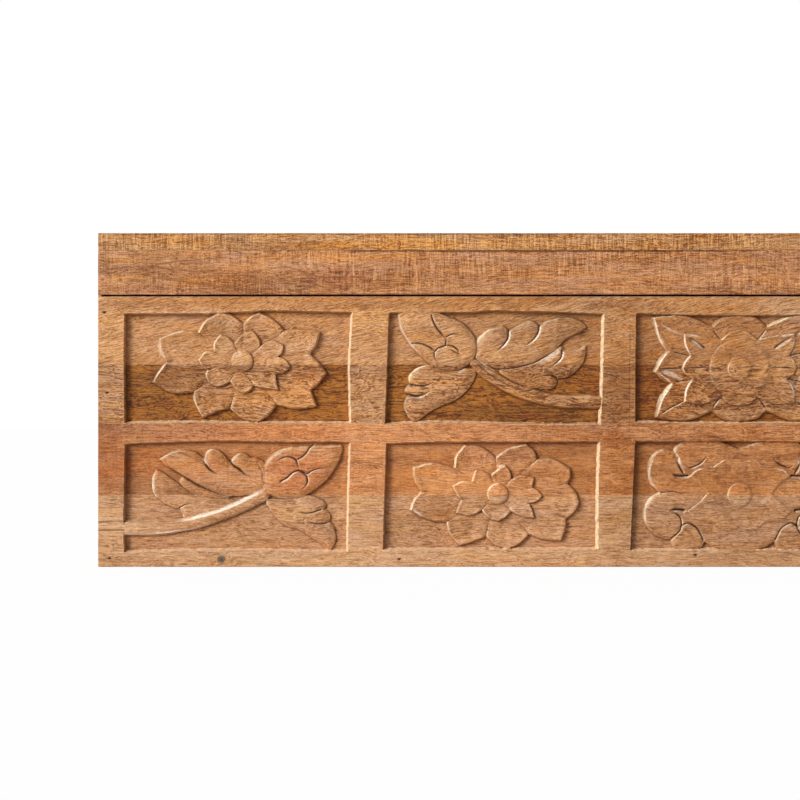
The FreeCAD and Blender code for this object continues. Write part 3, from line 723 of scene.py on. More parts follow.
ROSETTE = Motif(forms=(
    Form(ROSETTE_LOBES, 2.9, 1.8, 5.5),
    Form(arcs(mirrored(ROSETTE_INNER)), 1.6, 0.9, 1.6, steep=2.6, dish=1.2, dish_radius=40.0,
         hollow=0.9, hollow_reach=8.0),
    Form(disc((STAR_MIDDLE, 495), 12), 0.15, 2.4, 13.0, Crown.BALL, 3.6),
), grooves=pairs(
    (((662, 493), (674, 492), (686, 495)), 1.2, 2.0, (0.0, 0.5)),
    (((678, 458), (679.5, 465), (685, 475)), 3.6, 2.4, (0.0, 0.2)),
    (((672, 474), (679, 476.5), (690, 476)), 4.4, 3.0, (0.3, 0.1)),
    (((672, 539), (681, 530), (681, 518), (672, 511)), 2.4, 1.8, (0.0, 0.2)),
    (((670, 511), (677, 510), (686, 511)), 4.4, 3.2, (0.3, 0.1)),
    (((681, 527), (688, 523.5), (696, 527), (700, 532), (704, 540)), 2.4, 1.8, (0.0, 0.0)),
    (((685, 465), (691, 468), (702, 463), (708, 455)), 2.0, 1.8, (0.3, 0.4)),
), bare_and_highlight=pairs(
    (((677, 453), (678.5, 460), (682, 466)), 0.7, 2.6),
    (((660, 492.5), (649.5, 500), (645.2, 512), (647, 524)), 0.7, 1.2),
    (((659, 491), (651, 482), (650, 469), (655, 456)), 0.6, 1.2),
    (((690, 477), (696, 471), (704, 468.5)), 0.6, 1.1),
))
LEFT_LEAF = Motif(forms=(
    Form((
        ((165, 456.5), (172, 453), (180, 451), (188, 451.5), (195, 453), (200, 456.5)),
        ((203.5, 459.5), (207, 452), (212, 450), (217, 450.5), (222, 454), (226, 459)),
        ((229, 463), (235, 457), (240, 454), (246, 455), (250, 458.5), (256, 459)),
        ((262, 461), (270, 470), (268, 486)),
        ((262, 491), (250, 494), (235, 496), (220, 493.5), (210, 490), (200, 486), (190, 480),
         (180, 474.5), (172, 470), (165, 465)),
        ((160, 460),),
    ), 2.3, 3.4, 10.5, lean=(0.005, -0.012)),
    Form((
        ((156, 470), (153, 476), (152, 484), (153, 492), (156, 497.5), (160, 500)),
        ((165, 504), (172, 507)),
        ((180, 508.5), (182, 514), (186, 519), (205, 517), (225, 511)),
        ((240, 502), (225, 498.5), (212, 497.5), (195, 495.5), (188, 492.5), (182, 488)),
        ((178, 484), (170, 479), (163, 473.5)),
    ), 4.6, 2.2, 6.0),
    Form((
        ((183, 477), (180, 481), (181, 485), (185, 489)),
        ((192, 494), (205, 496.5), (225, 498)),
        ((232, 496), (215, 492.5), (200, 487), (190, 481.5)),
    ), 3.8, 1.8, 4.0),
    Form((
        ((118, 523.2), (150, 522.8), (170, 522.4), (185, 520.8), (200, 517.2), (215, 513.2), (230, 507.7),
         (245, 500.7), (255, 495.2)),
        ((266, 489.5), (269, 495)),
        ((266, 500), (258, 503.5), (245, 509.8), (230, 516.4), (215, 521.6), (200, 526.5), (180, 530.2),
         (165, 533), (150, 533.5)),
        ((118, 533.5),),
    ), 1.7, 1.5, 5.5, steep=2.3, lean=(0.019, 0.0)),
    Form((
        ((264, 490), (263, 480), (263, 470), (266, 463), (270, 458), (276, 453.5), (283, 450.5),
         (292, 448.5), (302, 447.5), (325, 446.5)),
        ((341, 446), (341, 450), (339, 458), (335, 466), (330, 474), (324, 481), (317, 487), (310, 492),
         (302, 496.5), (294, 498.5), (285, 498.5), (276, 497), (269, 494)),
    ), 1.0, 3.2, 10.0),
    Form((
        ((266, 500), (280, 499.5), (295, 498.5), (300, 497), (306, 496), (313, 497)),
        ((320, 500), (325, 504), (324, 508)),
        ((321, 510.5), (325, 511), (329, 514), (329.5, 519)),
        ((327, 523), (331, 524), (334, 530), (335, 538), (334, 544)),
        ((331, 549.5), (327, 549), (322, 545), (315, 540), (305, 533.5), (297, 529), (290, 527.5),
         (283, 524), (276, 517), (270, 509), (267, 504)),
    ), 2.8, 3.4, 10.0, lean=(0.008, -0.01)),
), grooves=(
    Groove(((203, 458), (205, 463), (208, 467.5), (213, 472), (220, 475.5)), 2.6, 2.6, (0.0, 0.5), 0.75),
    Groove(((230, 461), (234, 466), (240, 470), (246, 475), (252, 477)), 2.4, 2.2, (0.0, 0.5), 0.75),
    Groove(((256, 458), (258, 464), (262, 472), (263, 484)), 0.6, 1.8, (0.4, 0.2), 0.2),
    Groove(((179, 508), (182, 506.5), (185, 505), (192, 503.5)), 1.8, 1.6, (0.0, 0.5)),
    Groove(((165, 465), (185, 478), (205, 489), (228, 496.5), (250, 496)), 1.2, 1.6, (0.1, 0.3)),
    Groove(((275, 463), (279, 460), (285, 457.5), (291, 457.5), (296, 460), (298, 465),
            (298.5, 469.5)), 1.7, 1.9),
    Groove(((295, 461), (301, 458), (306, 454), (309, 449), (313, 445)), 2.2, 2.0, (0.2, 0.0)),
    Groove(((279, 482.5), (284, 480), (288, 477.5), (292, 473.5), (298, 471), (303, 472.5), (307, 477),
            (307.5, 483), (304, 488), (299, 491.5)), 2.2, 2.2, (0.05, 0.3)),
    Groove(((299, 471), (307, 474), (312, 471), (320, 468.5), (330, 468)), 1.5, 1.8, (0.1, 0.4)),
    Groove(((321, 510), (312, 513), (304, 513.5), (295, 511)), 2.0, 1.9, (0.0, 0.5)),
    Groove(((328, 523), (320, 524.5), (311, 523), (305, 521)), 2.0, 1.9, (0.0, 0.5)),
    Groove(((155, 474), (166, 482), (178, 488.5), (190, 493), (204, 495.5)), 1.6, 4.6, (0.2, 0.3)),
), bare_and_highlight=(
    Groove(((172, 521.6), (185, 519.9), (200, 516.2), (215, 512.0), (230, 506.3), (245, 499.3),
            (255, 494.0), (266, 488.2)), 1.0, 2.9, (0.22, 0.1)),
    Groove(((124, 534.2), (150, 534.0), (180, 530.8), (200, 527.0), (230, 517)), 1.0, 1.3, (0.0, 0.5)),
    Groove(((201, 457), (205, 462), (209, 466)), 0.7, 1.8, (0.2, 0.4)),
    Groove(((153, 474), (152.5, 483), (154, 493)), 0.55, 2.2, (0.2, 0.3)),
    Groove(((266, 466), (272, 457.5), (284, 451.5)), 0.5, 1.5, (0.2, 0.3)),
))
MIDDLE_LEAF = Motif(forms=(
    Form((
        ((540, 360), (548, 355), (556, 349.5), (562, 346.5), (563.5, 351)),
        ((565, 352), (572, 351), (578, 350)),
        ((586, 346.5), (585.5, 354), (584, 360), (580, 367), (575, 372), (568, 376.5), (562, 378)),
        ((556, 378), (557, 381), (556, 385), (551, 388.5), (544, 389), (538, 388)),
        ((530, 388), (520, 384), (510, 379), (500, 372), (505, 366), (520, 364)),
    ), 4.6, 2.4, 7.0, lean=(-0.01, -0.01)),
    Form((
        ((476, 357), (476, 350), (476.5, 344), (479, 339), (484, 334), (490, 330), (497, 328)),
        ((503, 326.5), (506, 328.5)),
        ((509, 332), (515, 328.5), (521, 325.5), (527, 322.5), (532, 321.5), (536, 323)),
        ((540, 327), (546, 322.5), (553, 320), (560, 318.5), (570, 318.5), (578, 320), (584, 324)),
        ((586, 327), (583, 329.5), (576, 333), (568, 337), (562, 342), (558, 347), (550, 353.5),
         (540, 359.5), (530, 363.5), (518, 366.5), (505, 368), (492, 367), (485, 364.5), (478, 359.5)),
    ), 1.9, 3.6, 11.0, lean=(0.0, -0.012)),
    Form((
        ((471, 358), (477, 361), (484, 366), (492, 371.5), (500, 376.5), (510, 382), (520, 386.5),
         (530, 389.5), (540, 392.3), (552, 395.3), (565, 396.4), (580, 397.3)),
        ((606, 397.3),),
        ((606, 406.8), (580, 407), (565, 406.8), (550, 404.6), (537, 402), (525, 398.5), (513, 394),
         (502, 388.3), (492, 382.4), (483, 376.3), (477, 370.5)),
        ((471, 364),),
    ), 1.4, 2.6, 6.0, Crown.ROOF, 2.3, lean=(-0.014, 0.0)),
    Form((
        ((466, 368), (455, 370.5), (437, 369), (432, 366), (427, 365.5), (420, 367.5)),
        ((414, 371), (409.5, 376), (409.5, 381)),
        ((411, 384.5), (407, 387.5), (405.5, 391)),
        ((408.5, 395), (405.5, 401), (405, 407), (407, 413), (410, 418), (415, 421), (420, 418.5),
         (427, 413.5), (433, 409.5), (440, 406.5), (450, 402), (456, 399.5), (463, 394), (469, 388),
         (473, 381)),
        ((476, 374), (474, 369)),
    ), 2.8, 3.8, 11.0, lean=(0.012, 0.012)),
    Form((
        ((396, 306), (399, 316), (400, 322), (402, 330), (406, 337), (411, 344.5), (417, 351), (424, 358),
         (431, 363.5), (438, 367.5), (447, 369.5), (456, 369.5), (463, 367), (469, 363), (473.5, 358.5),
         (476, 352), (476, 345), (474, 338), (470.5, 332), (466, 327), (461, 323), (455, 320), (449, 318),
         (438, 312)),
        ((430, 306),),
    ), 0.8, 3.2, 10.0),
), grooves=(
    Groove(((431, 313), (434, 322), (438, 329), (443, 335), (447, 339.5)), 2.2, 2.2, (0.1, 0.3)),
    Groove(((445, 338), (452, 334.5), (458, 334.5), (463, 336)), 1.6, 1.8, (0.1, 0.5)),
    Groove(((446, 338), (445.5, 346), (439, 348), (435, 352), (434.5, 357), (437, 361.5),
            (441, 365)), 1.7, 1.7, (0.1, 0.4)),
    Groove(((438, 348.5), (445, 345.8), (452, 346), (458, 350), (460, 356)), 1.6, 1.8, (0.2, 0.3)),
    Groove(((448.5, 348.5), (454, 351.5), (459.5, 354.5)), 1.2, 1.6, (0.3, 0.1), 0.9),
    Groove(((410, 344), (418, 343.5), (425, 345), (431, 348), (436, 352)), 1.6, 1.8, (0.1, 0.2)),
    Groove(((509, 331), (508.5, 338), (504, 345), (496.5, 351.5)), 2.6, 2.5, (0.0, 0.45), 1.0),
    Groove(((540, 326), (538.5, 333), (534, 339.5), (525.5, 346)), 2.6, 2.5, (0.0, 0.45), 1.0),
    Groove(((563, 350), (562, 357), (558, 362), (551, 367)), 2.2, 2.2, (0.0, 0.5), 1.0),
    Groove(((557, 378), (551, 375.5), (545, 375.5), (540, 376.5)), 1.8, 1.8, (0.0, 0.5)),
    Groove(((411, 384.5), (418, 386), (427, 385.5), (435, 381.5)), 2.0, 2.0, (0.0, 0.45)),
    Groove(((408, 394.5), (416, 396.5), (423, 395), (431, 391)), 3.2, 2.8, (0.0, 0.45), 0.6),
    Groove(((474, 361), (484, 369.5), (497, 379), (515, 388), (537, 395),
            (560, 399)), 0.9, 1.5, (0.1, 0.4)),
    Groove(((490, 368.5), (505, 369), (520, 366.8), (534, 363), (545, 357),
            (556, 350)), 1.6, 1.6, (0.2, 0.2), 0.1),
), bare_and_highlight=(
    Groove(((538, 364), (550, 357.5), (560, 349)), 0.5, 4.8, (0.5, 0.1)),
    Groove(((476, 359), (488, 367), (500, 374.5)), 0.7, 1.1, (0.2, 0.4)),
    Groove(((399, 316), (402, 330), (411, 344.5), (424, 358)), 0.55, 1.5, (0.2, 0.3)),
    Groove(((457, 374), (462, 371), (466, 367.5)), 0.45, 2.0, (0.3, 0.3)),
))
UPPER_STAR_EDGE: tuple[Points, ...] = (
    ((636, 313), (680, 314.2), (740, 315), (800, 314.2)),
    ((844, 313), (844.7, 368)),
    ((844.9, 422.3), (790, 423.4), (740, 423.4), (690, 423.4)),
    ((635.1, 422.3), (635.3, 368)),
)
LOWER_STAR_EDGE: tuple[Points, ...] = (
    ((635.1, 441.2), (690, 441.2), (740, 440.8), (790, 441.2)),
    ((844.9, 441.2), (846.2, 495)),
    ((847.5, 550.8), (740, 550)),
    ((630, 550.8), (632.5, 495)),
)
CELLS: tuple[Cell, ...] = (
    Cell((
        ((124, 313.2), (170, 313), (213, 312.7), (253, 310.7), (270, 310), (310, 310.8)),
        ((352.6, 311.7), (351, 340), (349.7, 366), (350.2, 395)),
        ((351, 423.1), (265, 423), (180.8, 422.3)),
        ((124.1, 423.4), (123.5, 360)),
    ), ROUND_FLOWER, seed=1),
    Cell((
        ((388.4, 312.6), (419.6, 311.6), (464.3, 311.8), (480, 310.6), (491.4, 309.8), (510.5, 310.6),
         (550, 311.2), (588.6, 313)),
        ((604.2, 313.2), (602.4, 389)),
        ((600.4, 424.6), (534.4, 424.6), (438.8, 422.4)),
        ((384.4, 424.4), (386.2, 379.7)),
    ), MIDDLE_LEAF, seed=2),
    Cell(UPPER_STAR_EDGE, STAR_FLOWER, seed=3),
    Cell((
        ((125.2, 444.2), (140, 442.6), (156.5, 442.2), (190, 441), (231.7, 440.3), (281.8, 441.3),
         (332, 441.3)),
        ((350.4, 441.8), (348.9, 497)),
        ((348, 552), (300, 551.3), (248.4, 550.5), (190, 550.9), (131.4, 552.2)),
        ((123.9, 553.6), (123, 523.6), (124.5, 446)),
    ), LEFT_LEAF, seed=4),
    Cell((
        ((385.8, 443), (425, 441.8), (463.4, 441.4), (526.5, 441.4)),
        ((600, 441.2), (598.4, 495.2)),
        ((598.2, 549.5), (522.3, 549.5), (450, 549.9)),
        ((382.6, 550), (384, 500)),
    ), BOLD_FLOWER, seed=5),
    Cell(LOWER_STAR_EDGE, ROSETTE, seed=6),
)


# Meshes

def pitched(low: float, high: float, fine: Sequence[Pixel], pitch: float, wide: float) -> Array:
    """Places of grid lines, close together in some stretches and wide apart elsewhere.

    Args:
        low: The first line.
        high: The last line.
        fine: The stretches with close lines, each with its start and end.
        pitch: The close lines' distance.
        wide: The other lines' distance.

    Returns:
        The places.
    """
    stops = sorted({low, high, *(min(max(place, low), high) for stretch in fine for place in stretch)})
    places = [low]
    for start, end in zip(stops, stops[1:]):
        middle = (start + end) / 2
        close = any(first < middle < last for first, last in fine)
        count = max(1, round((end - start) / (pitch if close else wide)))
        places.extend(start + (end - start) * number / count for number in range(1, count + 1))
    return np.array(places)


def rounded_drop(distance: Array, radius: float) -> Array:
    """How far an edge rounded with a radius falls below its face, at a distance from it."""
    return radius - np.sqrt(radius ** 2 - np.clip(radius - distance, 0, radius) ** 2)


def new_piece(name: str, data: Any) -> Piece:
    """Makes an object of its data and puts it in the scene."""
    piece = bpy.data.objects.new(name, data)
    bpy.context.scene.collection.objects.link(piece)
    return piece


def new_mesh(name: str, points: Array, faces: Sequence[Array]) -> Piece:
    """Makes an object from points in millimetres and groups of faces.

    Args:
        name: The piece's name.
        points: The points.
        faces: Groups of faces that have as many corners each as the group has columns.

    Returns:
        The new object.
    """
    mesh = bpy.data.meshes.new(name)
    mesh.vertices.add(len(points))
    mesh.vertices.foreach_set("co", (points * MM).astype(np.float32).ravel())
    corners = np.concatenate([group.ravel() for group in faces]).astype(np.int32)
    sizes = np.concatenate([np.full(len(group), group.shape[1]) for group in faces])
    starts = np.concatenate(((0,), np.cumsum(sizes)[:-1])).astype(np.int32)
    mesh.loops.add(len(corners))
    mesh.loops.foreach_set("vertex_index", corners)
    mesh.polygons.add(len(sizes))
    mesh.polygons.foreach_set("loop_start", starts)
    mesh.polygons.foreach_set("use_smooth", np.ones(len(sizes), bool))
    mesh.update(calc_edges=True)
    mesh.validate()
    return new_piece(name, mesh)


def mark(piece: Piece, name: str, values: Array) -> None:
    """Stores one number for each point of a piece, for its finish to read."""
    layer = piece.data.attributes.new(name, "FLOAT", "POINT")
    layer.data.foreach_set("value", values.astype(np.float32))


@dataclass(frozen=True)
class Pit:
    """A small hollow that a nail head sits in, on a face across one axis."""

    place: Spot
    radius: float = 2.7
    depth: float = 0.75
    squash: float = 1.0


@dataclass
class CarvedFront:
    """The four boards of the front, with the carving cut across their joints."""

    heights: tuple[float, ...] = (0.0, 84.0, 167.5, 236.5, 316.0)
    half_width: float = 450.0
    front: float = -200.0
    back: float = -178.0
    ear: float = 4.0
    ear_rise: float = 2.0
    pitch: float = 0.85
    wide_pitch: float = 3.0
    arris: float = 0.9
    sharp_angle: float = 34.0
    cell_margin: float = 2.0
    score_margin: float = 1.2
    cells: tuple[Cell, ...] = CELLS
    pits: tuple[Pit, ...] = ()
    scores: tuple[Groove, ...] = (
        Groove(((630.5, 326), (630.2, 380), (629.6, 440)), 0.5, 0.8, (0.1, 0.1)),
        Groove(((97, 521.9), (110, 521.6), (124, 521.4)), 0.7, 1.3, (0.0, 0.0)),
        Groove(((97, 530.4), (110, 530), (124, 529.8)), 0.8, 1.3, (0.0, 0.0)),
        Groove(((612, 296), (612.6, 300), (612.2, 304)), 0.7, 0.9, (0.0, 0.3)),
        Groove(((629, 311), (633, 312.2), (638, 311.6)), 0.5, 0.9, (0.1, 0.1)),
        Groove(((113, 532), (113.4, 545), (113, 560)), 0.25, 0.8, (0.2, 0.2)),
    )

    def build(self) -> list[Piece]:
        """Cuts all boards, from the bottom one up."""
        return [self.board(number) for number in range(1, len(self.heights))]

    def _fine(self, axis: int, beside_nail: float) -> list[Pixel]:
        """Stretches with close grid lines: at the cells, the nails and the scores.

        Args:
            axis: 0 across the front, or 1 up it.
            beside_nail: How far the close lines reach beside a nail.

        Returns:
            The start and end of each stretch.
        """
        spans = [(cell.ring()[:, axis], self.cell_margin) for cell in self.cells]
        spans += [(np.array(pit.place)[[axis * 2]], beside_nail) for pit in self.pits]
        scores = [PLANE.line(score.points)[:, axis] for score in self.scores]
        spans += [(line, self.score_margin) for line in scores if axis == 0 or np.ptp(line) < 20]
        return [(line.min() - margin, line.max() + margin) for line, margin in spans]

    def columns(self) -> Array:
        """Places of the grid's columns."""
        edge, inner, step = self.half_width, self.half_width - self.ear, 0.1
        fine = [*self._fine(0, 3.2), (-edge, -edge + 2), (edge - 2, edge)]
        fine += [(-inner - step, -inner + step), (inner - step, inner + step)]
        return pitched(-edge, edge, self._merge(fine), self.pitch, self.wide_pitch)

    def rows(self, low: float, high: float) -> Array:
        """Heights of the grid's rows between two heights."""
        fine = [*self._fine(1, 3.0), (0.0, 1.6), (self.heights[-1] - 1.6, self.heights[-1])]
        kept = [stretch for stretch in self._merge(fine) if stretch[0] < high and stretch[1] > low]
        return pitched(low, high, kept, self.pitch, self.wide_pitch)

    @staticmethod
    def _merge(stretches: list[Pixel]) -> list[Pixel]:
        """Joins stretches that overlap."""
        merged: list[Pixel] = []
        for start, end in sorted(stretches):
            if merged and start <= merged[-1][1]:
                merged[-1] = (merged[-1][0], max(end, merged[-1][1]))
            else:
                merged.append((start, end))
        return merged

    def surface(self, places: Array) -> Surface:
        """Works out the whole front at many places.

        Args:
            places: The places in millimetres.

        Returns:
            The surface there.
        """
        whole = Surface.plain(places)
        swell = Ripple(70.0, 7, (2.0, 1.0)).at(places)
        small = Ripple(14.0, 8, (3.0, 1.0)).at(places)
        whole.depth = np.maximum(0.16 + swell * 0.08 + small * 0.035, 0.02)
        for cell in self.cells:
            close = np.flatnonzero(cell.near(places))
            if not len(close):
                continue
            found = cell.cut(places[close])
            fresh = found.depth > 0.02
            whole.depth[close] = np.where(fresh, np.maximum(found.depth, 0.1), whole.depth[close])
            for name, values in found.marks.items():
                whole.raise_mark(name, close, values)
            pulled = ~np.isnan(found.pull[:, 0])
            whole.pull[close[pulled]] = found.pull[pulled]
        for score in self.scores:
            distance, _, along = nearest(places, smooth_line(PLANE.line(score.points), 3.0))
            taper = np.clip(np.minimum(along, 1 - along) / max(*score.fade, 0.01), 0, 1)
            side = np.clip(1 - distance / score.half_width, 0, 1)
            cut = side * np.where(max(score.fade) > 0, taper, 1.0)
            whole.depth += score.depth * cut * (whole.depth < 1)
            # Painted shadow along the scribed line.
            whole.raise_mark("cut_shadow", ..., cut * min(0.8, score.depth))
        for pit in self.pits:
            away = np.hypot(places[:, 0] - pit.place[0], (places[:, 1] - pit.place[2]) / pit.squash)
            whole.depth = whole.depth + pit.depth * np.clip((pit.radius + 0.5 - away) / 0.9, 0, 1)
            whole.raise_mark("foot", ..., np.exp(-np.clip(away - pit.radius, 0, None) / 0.8))
        return whole

    def _wear_and_gap_shadow(self, final: Surface, moved: Array) -> None:
        """Wears the outer edges and paints the shadow of the gap under the lid as a dark line.

        Args:
            final: The surface, which is changed.
            moved: Where its places lie after they were drawn to the sharp lines.
        """
        top = self.heights[-1]
        ceiling = np.where(np.abs(moved[:, 0]) > self.half_width - self.ear, self.ear_rise, 0) + top
        for distance in (moved[:, 1], ceiling - moved[:, 1], self.half_width - np.abs(moved[:, 0])):
            worn = rounded_drop(np.clip(distance, 0, None), self.arris)
            final.depth = final.depth + worn
            final.raise_mark("edge", ..., np.clip(worn / self.arris, 0, 1) * 0.6)
        # Painted shadow of the gap under the lid: a dark line along the top edge, with no pale edge there.
        below = top - moved[:, 1]
        final.marks["edge"] = np.where(below < 1.4, 0, final.marks["edge"])
        final.raise_mark("foot", ..., np.clip(1 - below / 1.3, 0, 1) * 0.8)

    def board(self, number: int) -> Piece:
        """Cuts one board.

        Args:
            number: 1 for the bottom board.

        Returns:
            The closed board.
        """
        low, high = self.heights[number - 1:number + 1]
        columns, rows = self.columns(), self.rows(low, high)
        shape = (len(rows), len(columns))
        across, up = np.meshgrid(columns, rows)
        places = np.stack((across.ravel(), up.ravel()), 1)
        pull = self.surface(places).pull
        pulled = ~np.isnan(pull[:, 0])
        moved = places.copy()
        moved[pulled] += pull[pulled]
        for axis, lines in enumerate((columns, rows)):
            end = (places[:, axis] == lines[0]) | (places[:, axis] == lines[-1])
            moved[end, axis] = places[end, axis]
        final = self.surface(moved)
        if high == self.heights[-1]:
            ears = (places[:, 1] == rows[-1]) & (np.abs(places[:, 0]) > self.half_width - self.ear)
            moved[ears, 1] += self.ear_rise
        self._wear_and_gap_shadow(final, moved)
        front = np.stack((moved[:, 0], self.front + final.depth, moved[:, 1]), 1)
        index = np.arange(len(front)).reshape(shape)
        triangles = self._triangles(index, final.depth.reshape(shape), pulled.reshape(shape))
        loop = np.concatenate((index[0, :-1], index[:-1, -1], index[-1, :0:-1], index[:0:-1, 0]))
        behind = front[loop].copy()
        behind[:, 1] = self.back
        rear = np.arange(len(loop)) + len(front)
        sides = np.stack((np.roll(loop, -1), loop, rear, np.roll(rear, -1)), 1)
        faces = (triangles, sides, rear[None, ::-1])
        piece = new_mesh(f"carved_front_{number}", np.vstack((front, behind)), faces)
        piece.data.set_sharp_from_angle(angle=math.radians(self.sharp_angle))
        normals = np.zeros(len(piece.data.vertices) * 3)
        piece.data.vertices.foreach_get("normal", normals)
        extra = np.zeros(len(rear))
        # How far each face turns to the key light, for the finish's painted highlights.
        lit = np.clip(-0.85 * normals[0::3] + 0.5 * normals[2::3], 0, 1)
        lit *= np.concatenate((np.abs(moved[:, 0]) < self.half_width - 1.2, extra))
        for name, values in final.marks.items():
            mark(piece, name, np.concatenate((values, extra)))
        mark(piece, "lit_side", lit)
        return piece

    @staticmethod
    def _triangles(index: Array, depth: Array, snapped: Array) -> Array:
        """Splits the grid's squares along their creases.

        Args:
            index: Number of each grid point.
            depth: Its depth.
            snapped: Whether it lies on a sharp line.

        Returns:
            The triangles' corners, turned to the front.
        """
        a, b, c, d = index[:-1, :-1], index[:-1, 1:], index[1:, 1:], index[1:, :-1]
        rising = np.abs(depth[:-1, :-1] - depth[1:, 1:]) - 3 * (snapped[:-1, :-1] & snapped[1:, 1:])
        falling = np.abs(depth[:-1, 1:] - depth[1:, :-1]) - 3 * (snapped[:-1, 1:] & snapped[1:, :-1])
        use = (rising <= falling)[..., None]
        first = np.where(use, np.stack((a, b, c), -1), np.stack((a, b, d), -1))
        second = np.where(use, np.stack((a, c, d), -1), np.stack((b, c, d), -1))
        return np.concatenate((first.reshape(-1, 3), second.reshape(-1, 3)))


class Along(Enum):
    """The way that a board's grain runs."""

    WIDTH = 0
    DEPTH = 1

    def turned(self, scale: Spot) -> Spot:
        """A pattern's scale along, across and through a board, set along the three axes."""
        along, across, through = scale
        return (along, through, across) if self is Along.WIDTH else (across, along, through)


@dataclass(frozen=True)
class Plank:
    """One sawn board with worn edges, uneven faces and hollows for its nails."""

    node: str
    along: Along
    seed: int
    worn: float = 0.8
    uneven: float = 0.22
    wave: float = 45.0
    pitch: float = 14.0
    pits: tuple[Pit, ...] = ()
    pit_axis: int = 1
    joint_axis: int = -1
    joint_low: bool = True
    joint_high: bool = True
    beside_nail: tuple[float, ...] = (-3.4, -2.7, -2.0, -1.0, 0.0, 1.0, 2.0, 2.7, 3.4)

    def build(self) -> Piece:
        """Makes the board in the space of its node."""
        low, high = (np.array(corner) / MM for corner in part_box(self.node))
        points, faces = self._shell([self._lines(axis, low[axis], high[axis]) for axis in range(3)])
        core = np.clip(points, low + self.worn, high - self.worn)
        rest = points - core
        length = np.maximum(np.linalg.norm(rest, axis=1), 1e-9)
        rounding = core + rest * (self.worn / np.maximum(length, self.worn))[:, None]
        facing = rest / length[:, None]
        stretch = tuple(3.0 if axis == self.along.value else 1.0 for axis in range(3))
        ripple = Ripple(self.wave, self.seed, stretch).at(points) * 0.5 + 0.5
        fine = Ripple(self.wave / 4, self.seed + 9, stretch).at(points) * 0.12
        inward = self.uneven * np.clip(ripple + fine, 0, 1.3)
        flat = (np.abs(facing).max(1) > 0.98) & (length > 1e-6)
        moved = rounding - facing * (inward * flat)[:, None]
        for pit in self.pits:
            moved[:, self.pit_axis] += self._hollow(points, pit, (low + high) / 2)
        piece = new_mesh(f"{self.node}_sawn", np.clip(moved, low, high), (faces,))
        mark(piece, "edge", np.clip((length - self.worn) / (self.worn * 0.6), 0, 1))
        if self.joint_axis >= 0:
            place, near = points[:, self.joint_axis], self.worn * 0.5
            below = (place - low[self.joint_axis] < near) & self.joint_low
            above = (high[self.joint_axis] - place < near) & self.joint_high
            mark(piece, "joint", (below | above).astype(float))
        mark(piece, "board", np.full(len(points), float(self.seed)))
        piece.data.set_sharp_from_angle(angle=math.radians(55))
        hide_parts(self.node)
        return piece

    def _lines(self, axis: int, low: float, high: float) -> Array:
        """Grid lines across one axis, with extra ones at the edges and the nails.

        Args:
            axis: The axis, from 0 to 2.
            low: Where the board starts.
            high: Where it ends.

        Returns:
            The places, in order.
        """
        near = [0.0, self.worn * 0.35, self.worn, self.worn * 1.8]
        places = [low + step for step in near] + [high - step for step in near]
        count = max(2, round((high - low) / (self.pitch * (2.0 if axis == self.along.value else 1.0))))
        places += [low + (high - low) * number / count for number in range(1, count)]
        if axis != self.pit_axis:
            places += [pit.place[axis] + step for pit in self.pits for step in self.beside_nail]
        kept: list[float] = []
        for place in sorted(place for place in places if low <= place <= high):
            if not kept or place - kept[-1] > 0.2:
                kept.append(place)
        kept[-1] = high
        return np.array(kept)

    @staticmethod
    def _shell(lines: list[Array]) -> tuple[Array, Array]:
        """The outside of a block of grid lines.

        Args:
            lines: The places of the grid lines across each axis.

        Returns:
            The points and the four-cornered faces, turned outwards.
        """
        shape = tuple(len(line) for line in lines)
        index = np.full(shape, -1)
        outer = np.zeros(shape, bool)
        ends = [(axis, end, (slice(None),) * axis + (end,)) for axis in range(3) for end in (0, -1)]
        for _, _, sheet in ends:
            outer[sheet] = True
        index[outer] = np.arange(outer.sum())
        faces = []
        for axis, end, sheet in ends:
            at = index[sheet]
            square = np.stack((at[:-1, :-1], at[1:, :-1], at[1:, 1:], at[:-1, 1:]), -1)
            outward = (end == -1) != (axis == 1)
            faces.append((square if outward else square[..., ::-1]).reshape(-1, 4))
        return np.stack(np.meshgrid(*lines, indexing="ij"), -1)[outer], np.concatenate(faces)

    def _hollow(self, points: Array, pit: Pit, middle: Array) -> Array:
        """How far the hollow of a nail presses the face that the nail goes through.

        Args:
            points: The points before anything moved them.
            pit: The hollow.
            middle: The board's middle.

        Returns:
            The move along the nail's axis.
        """
        others = [axis for axis in range(3) if axis != self.pit_axis]
        away = np.hypot(*(points[:, axis] - pit.place[axis] for axis in others))
        on_face = np.abs(points[:, self.pit_axis] - pit.place[self.pit_axis]) < 0.01
        sign = 1.0 if pit.place[self.pit_axis] < middle[self.pit_axis] else -1.0
        return sign * (pit.depth * np.clip((pit.radius + 0.4 - away) / 0.9, 0, 1) * on_face)


# Finishes

def linear(red: float, green: float, blue: float, factor: float = 1.0) -> tuple[float, ...]:
    """A colour given as it looks on a screen, from 0 to 255, as light.

    Args:
        red: Red part.
        green: Green part.
        blue: Blue part.
        factor: How much brighter the light is.

    Returns:
        The colour with full cover.
    """
    parts = []
    for part in (red, green, blue):
        share = part / 255
        light = share / 12.92 if share <= 0.04045 else ((share + 0.055) / 1.055) ** 2.4
        parts.append(min(light * factor, 1.0))
    return (*parts, 1.0)


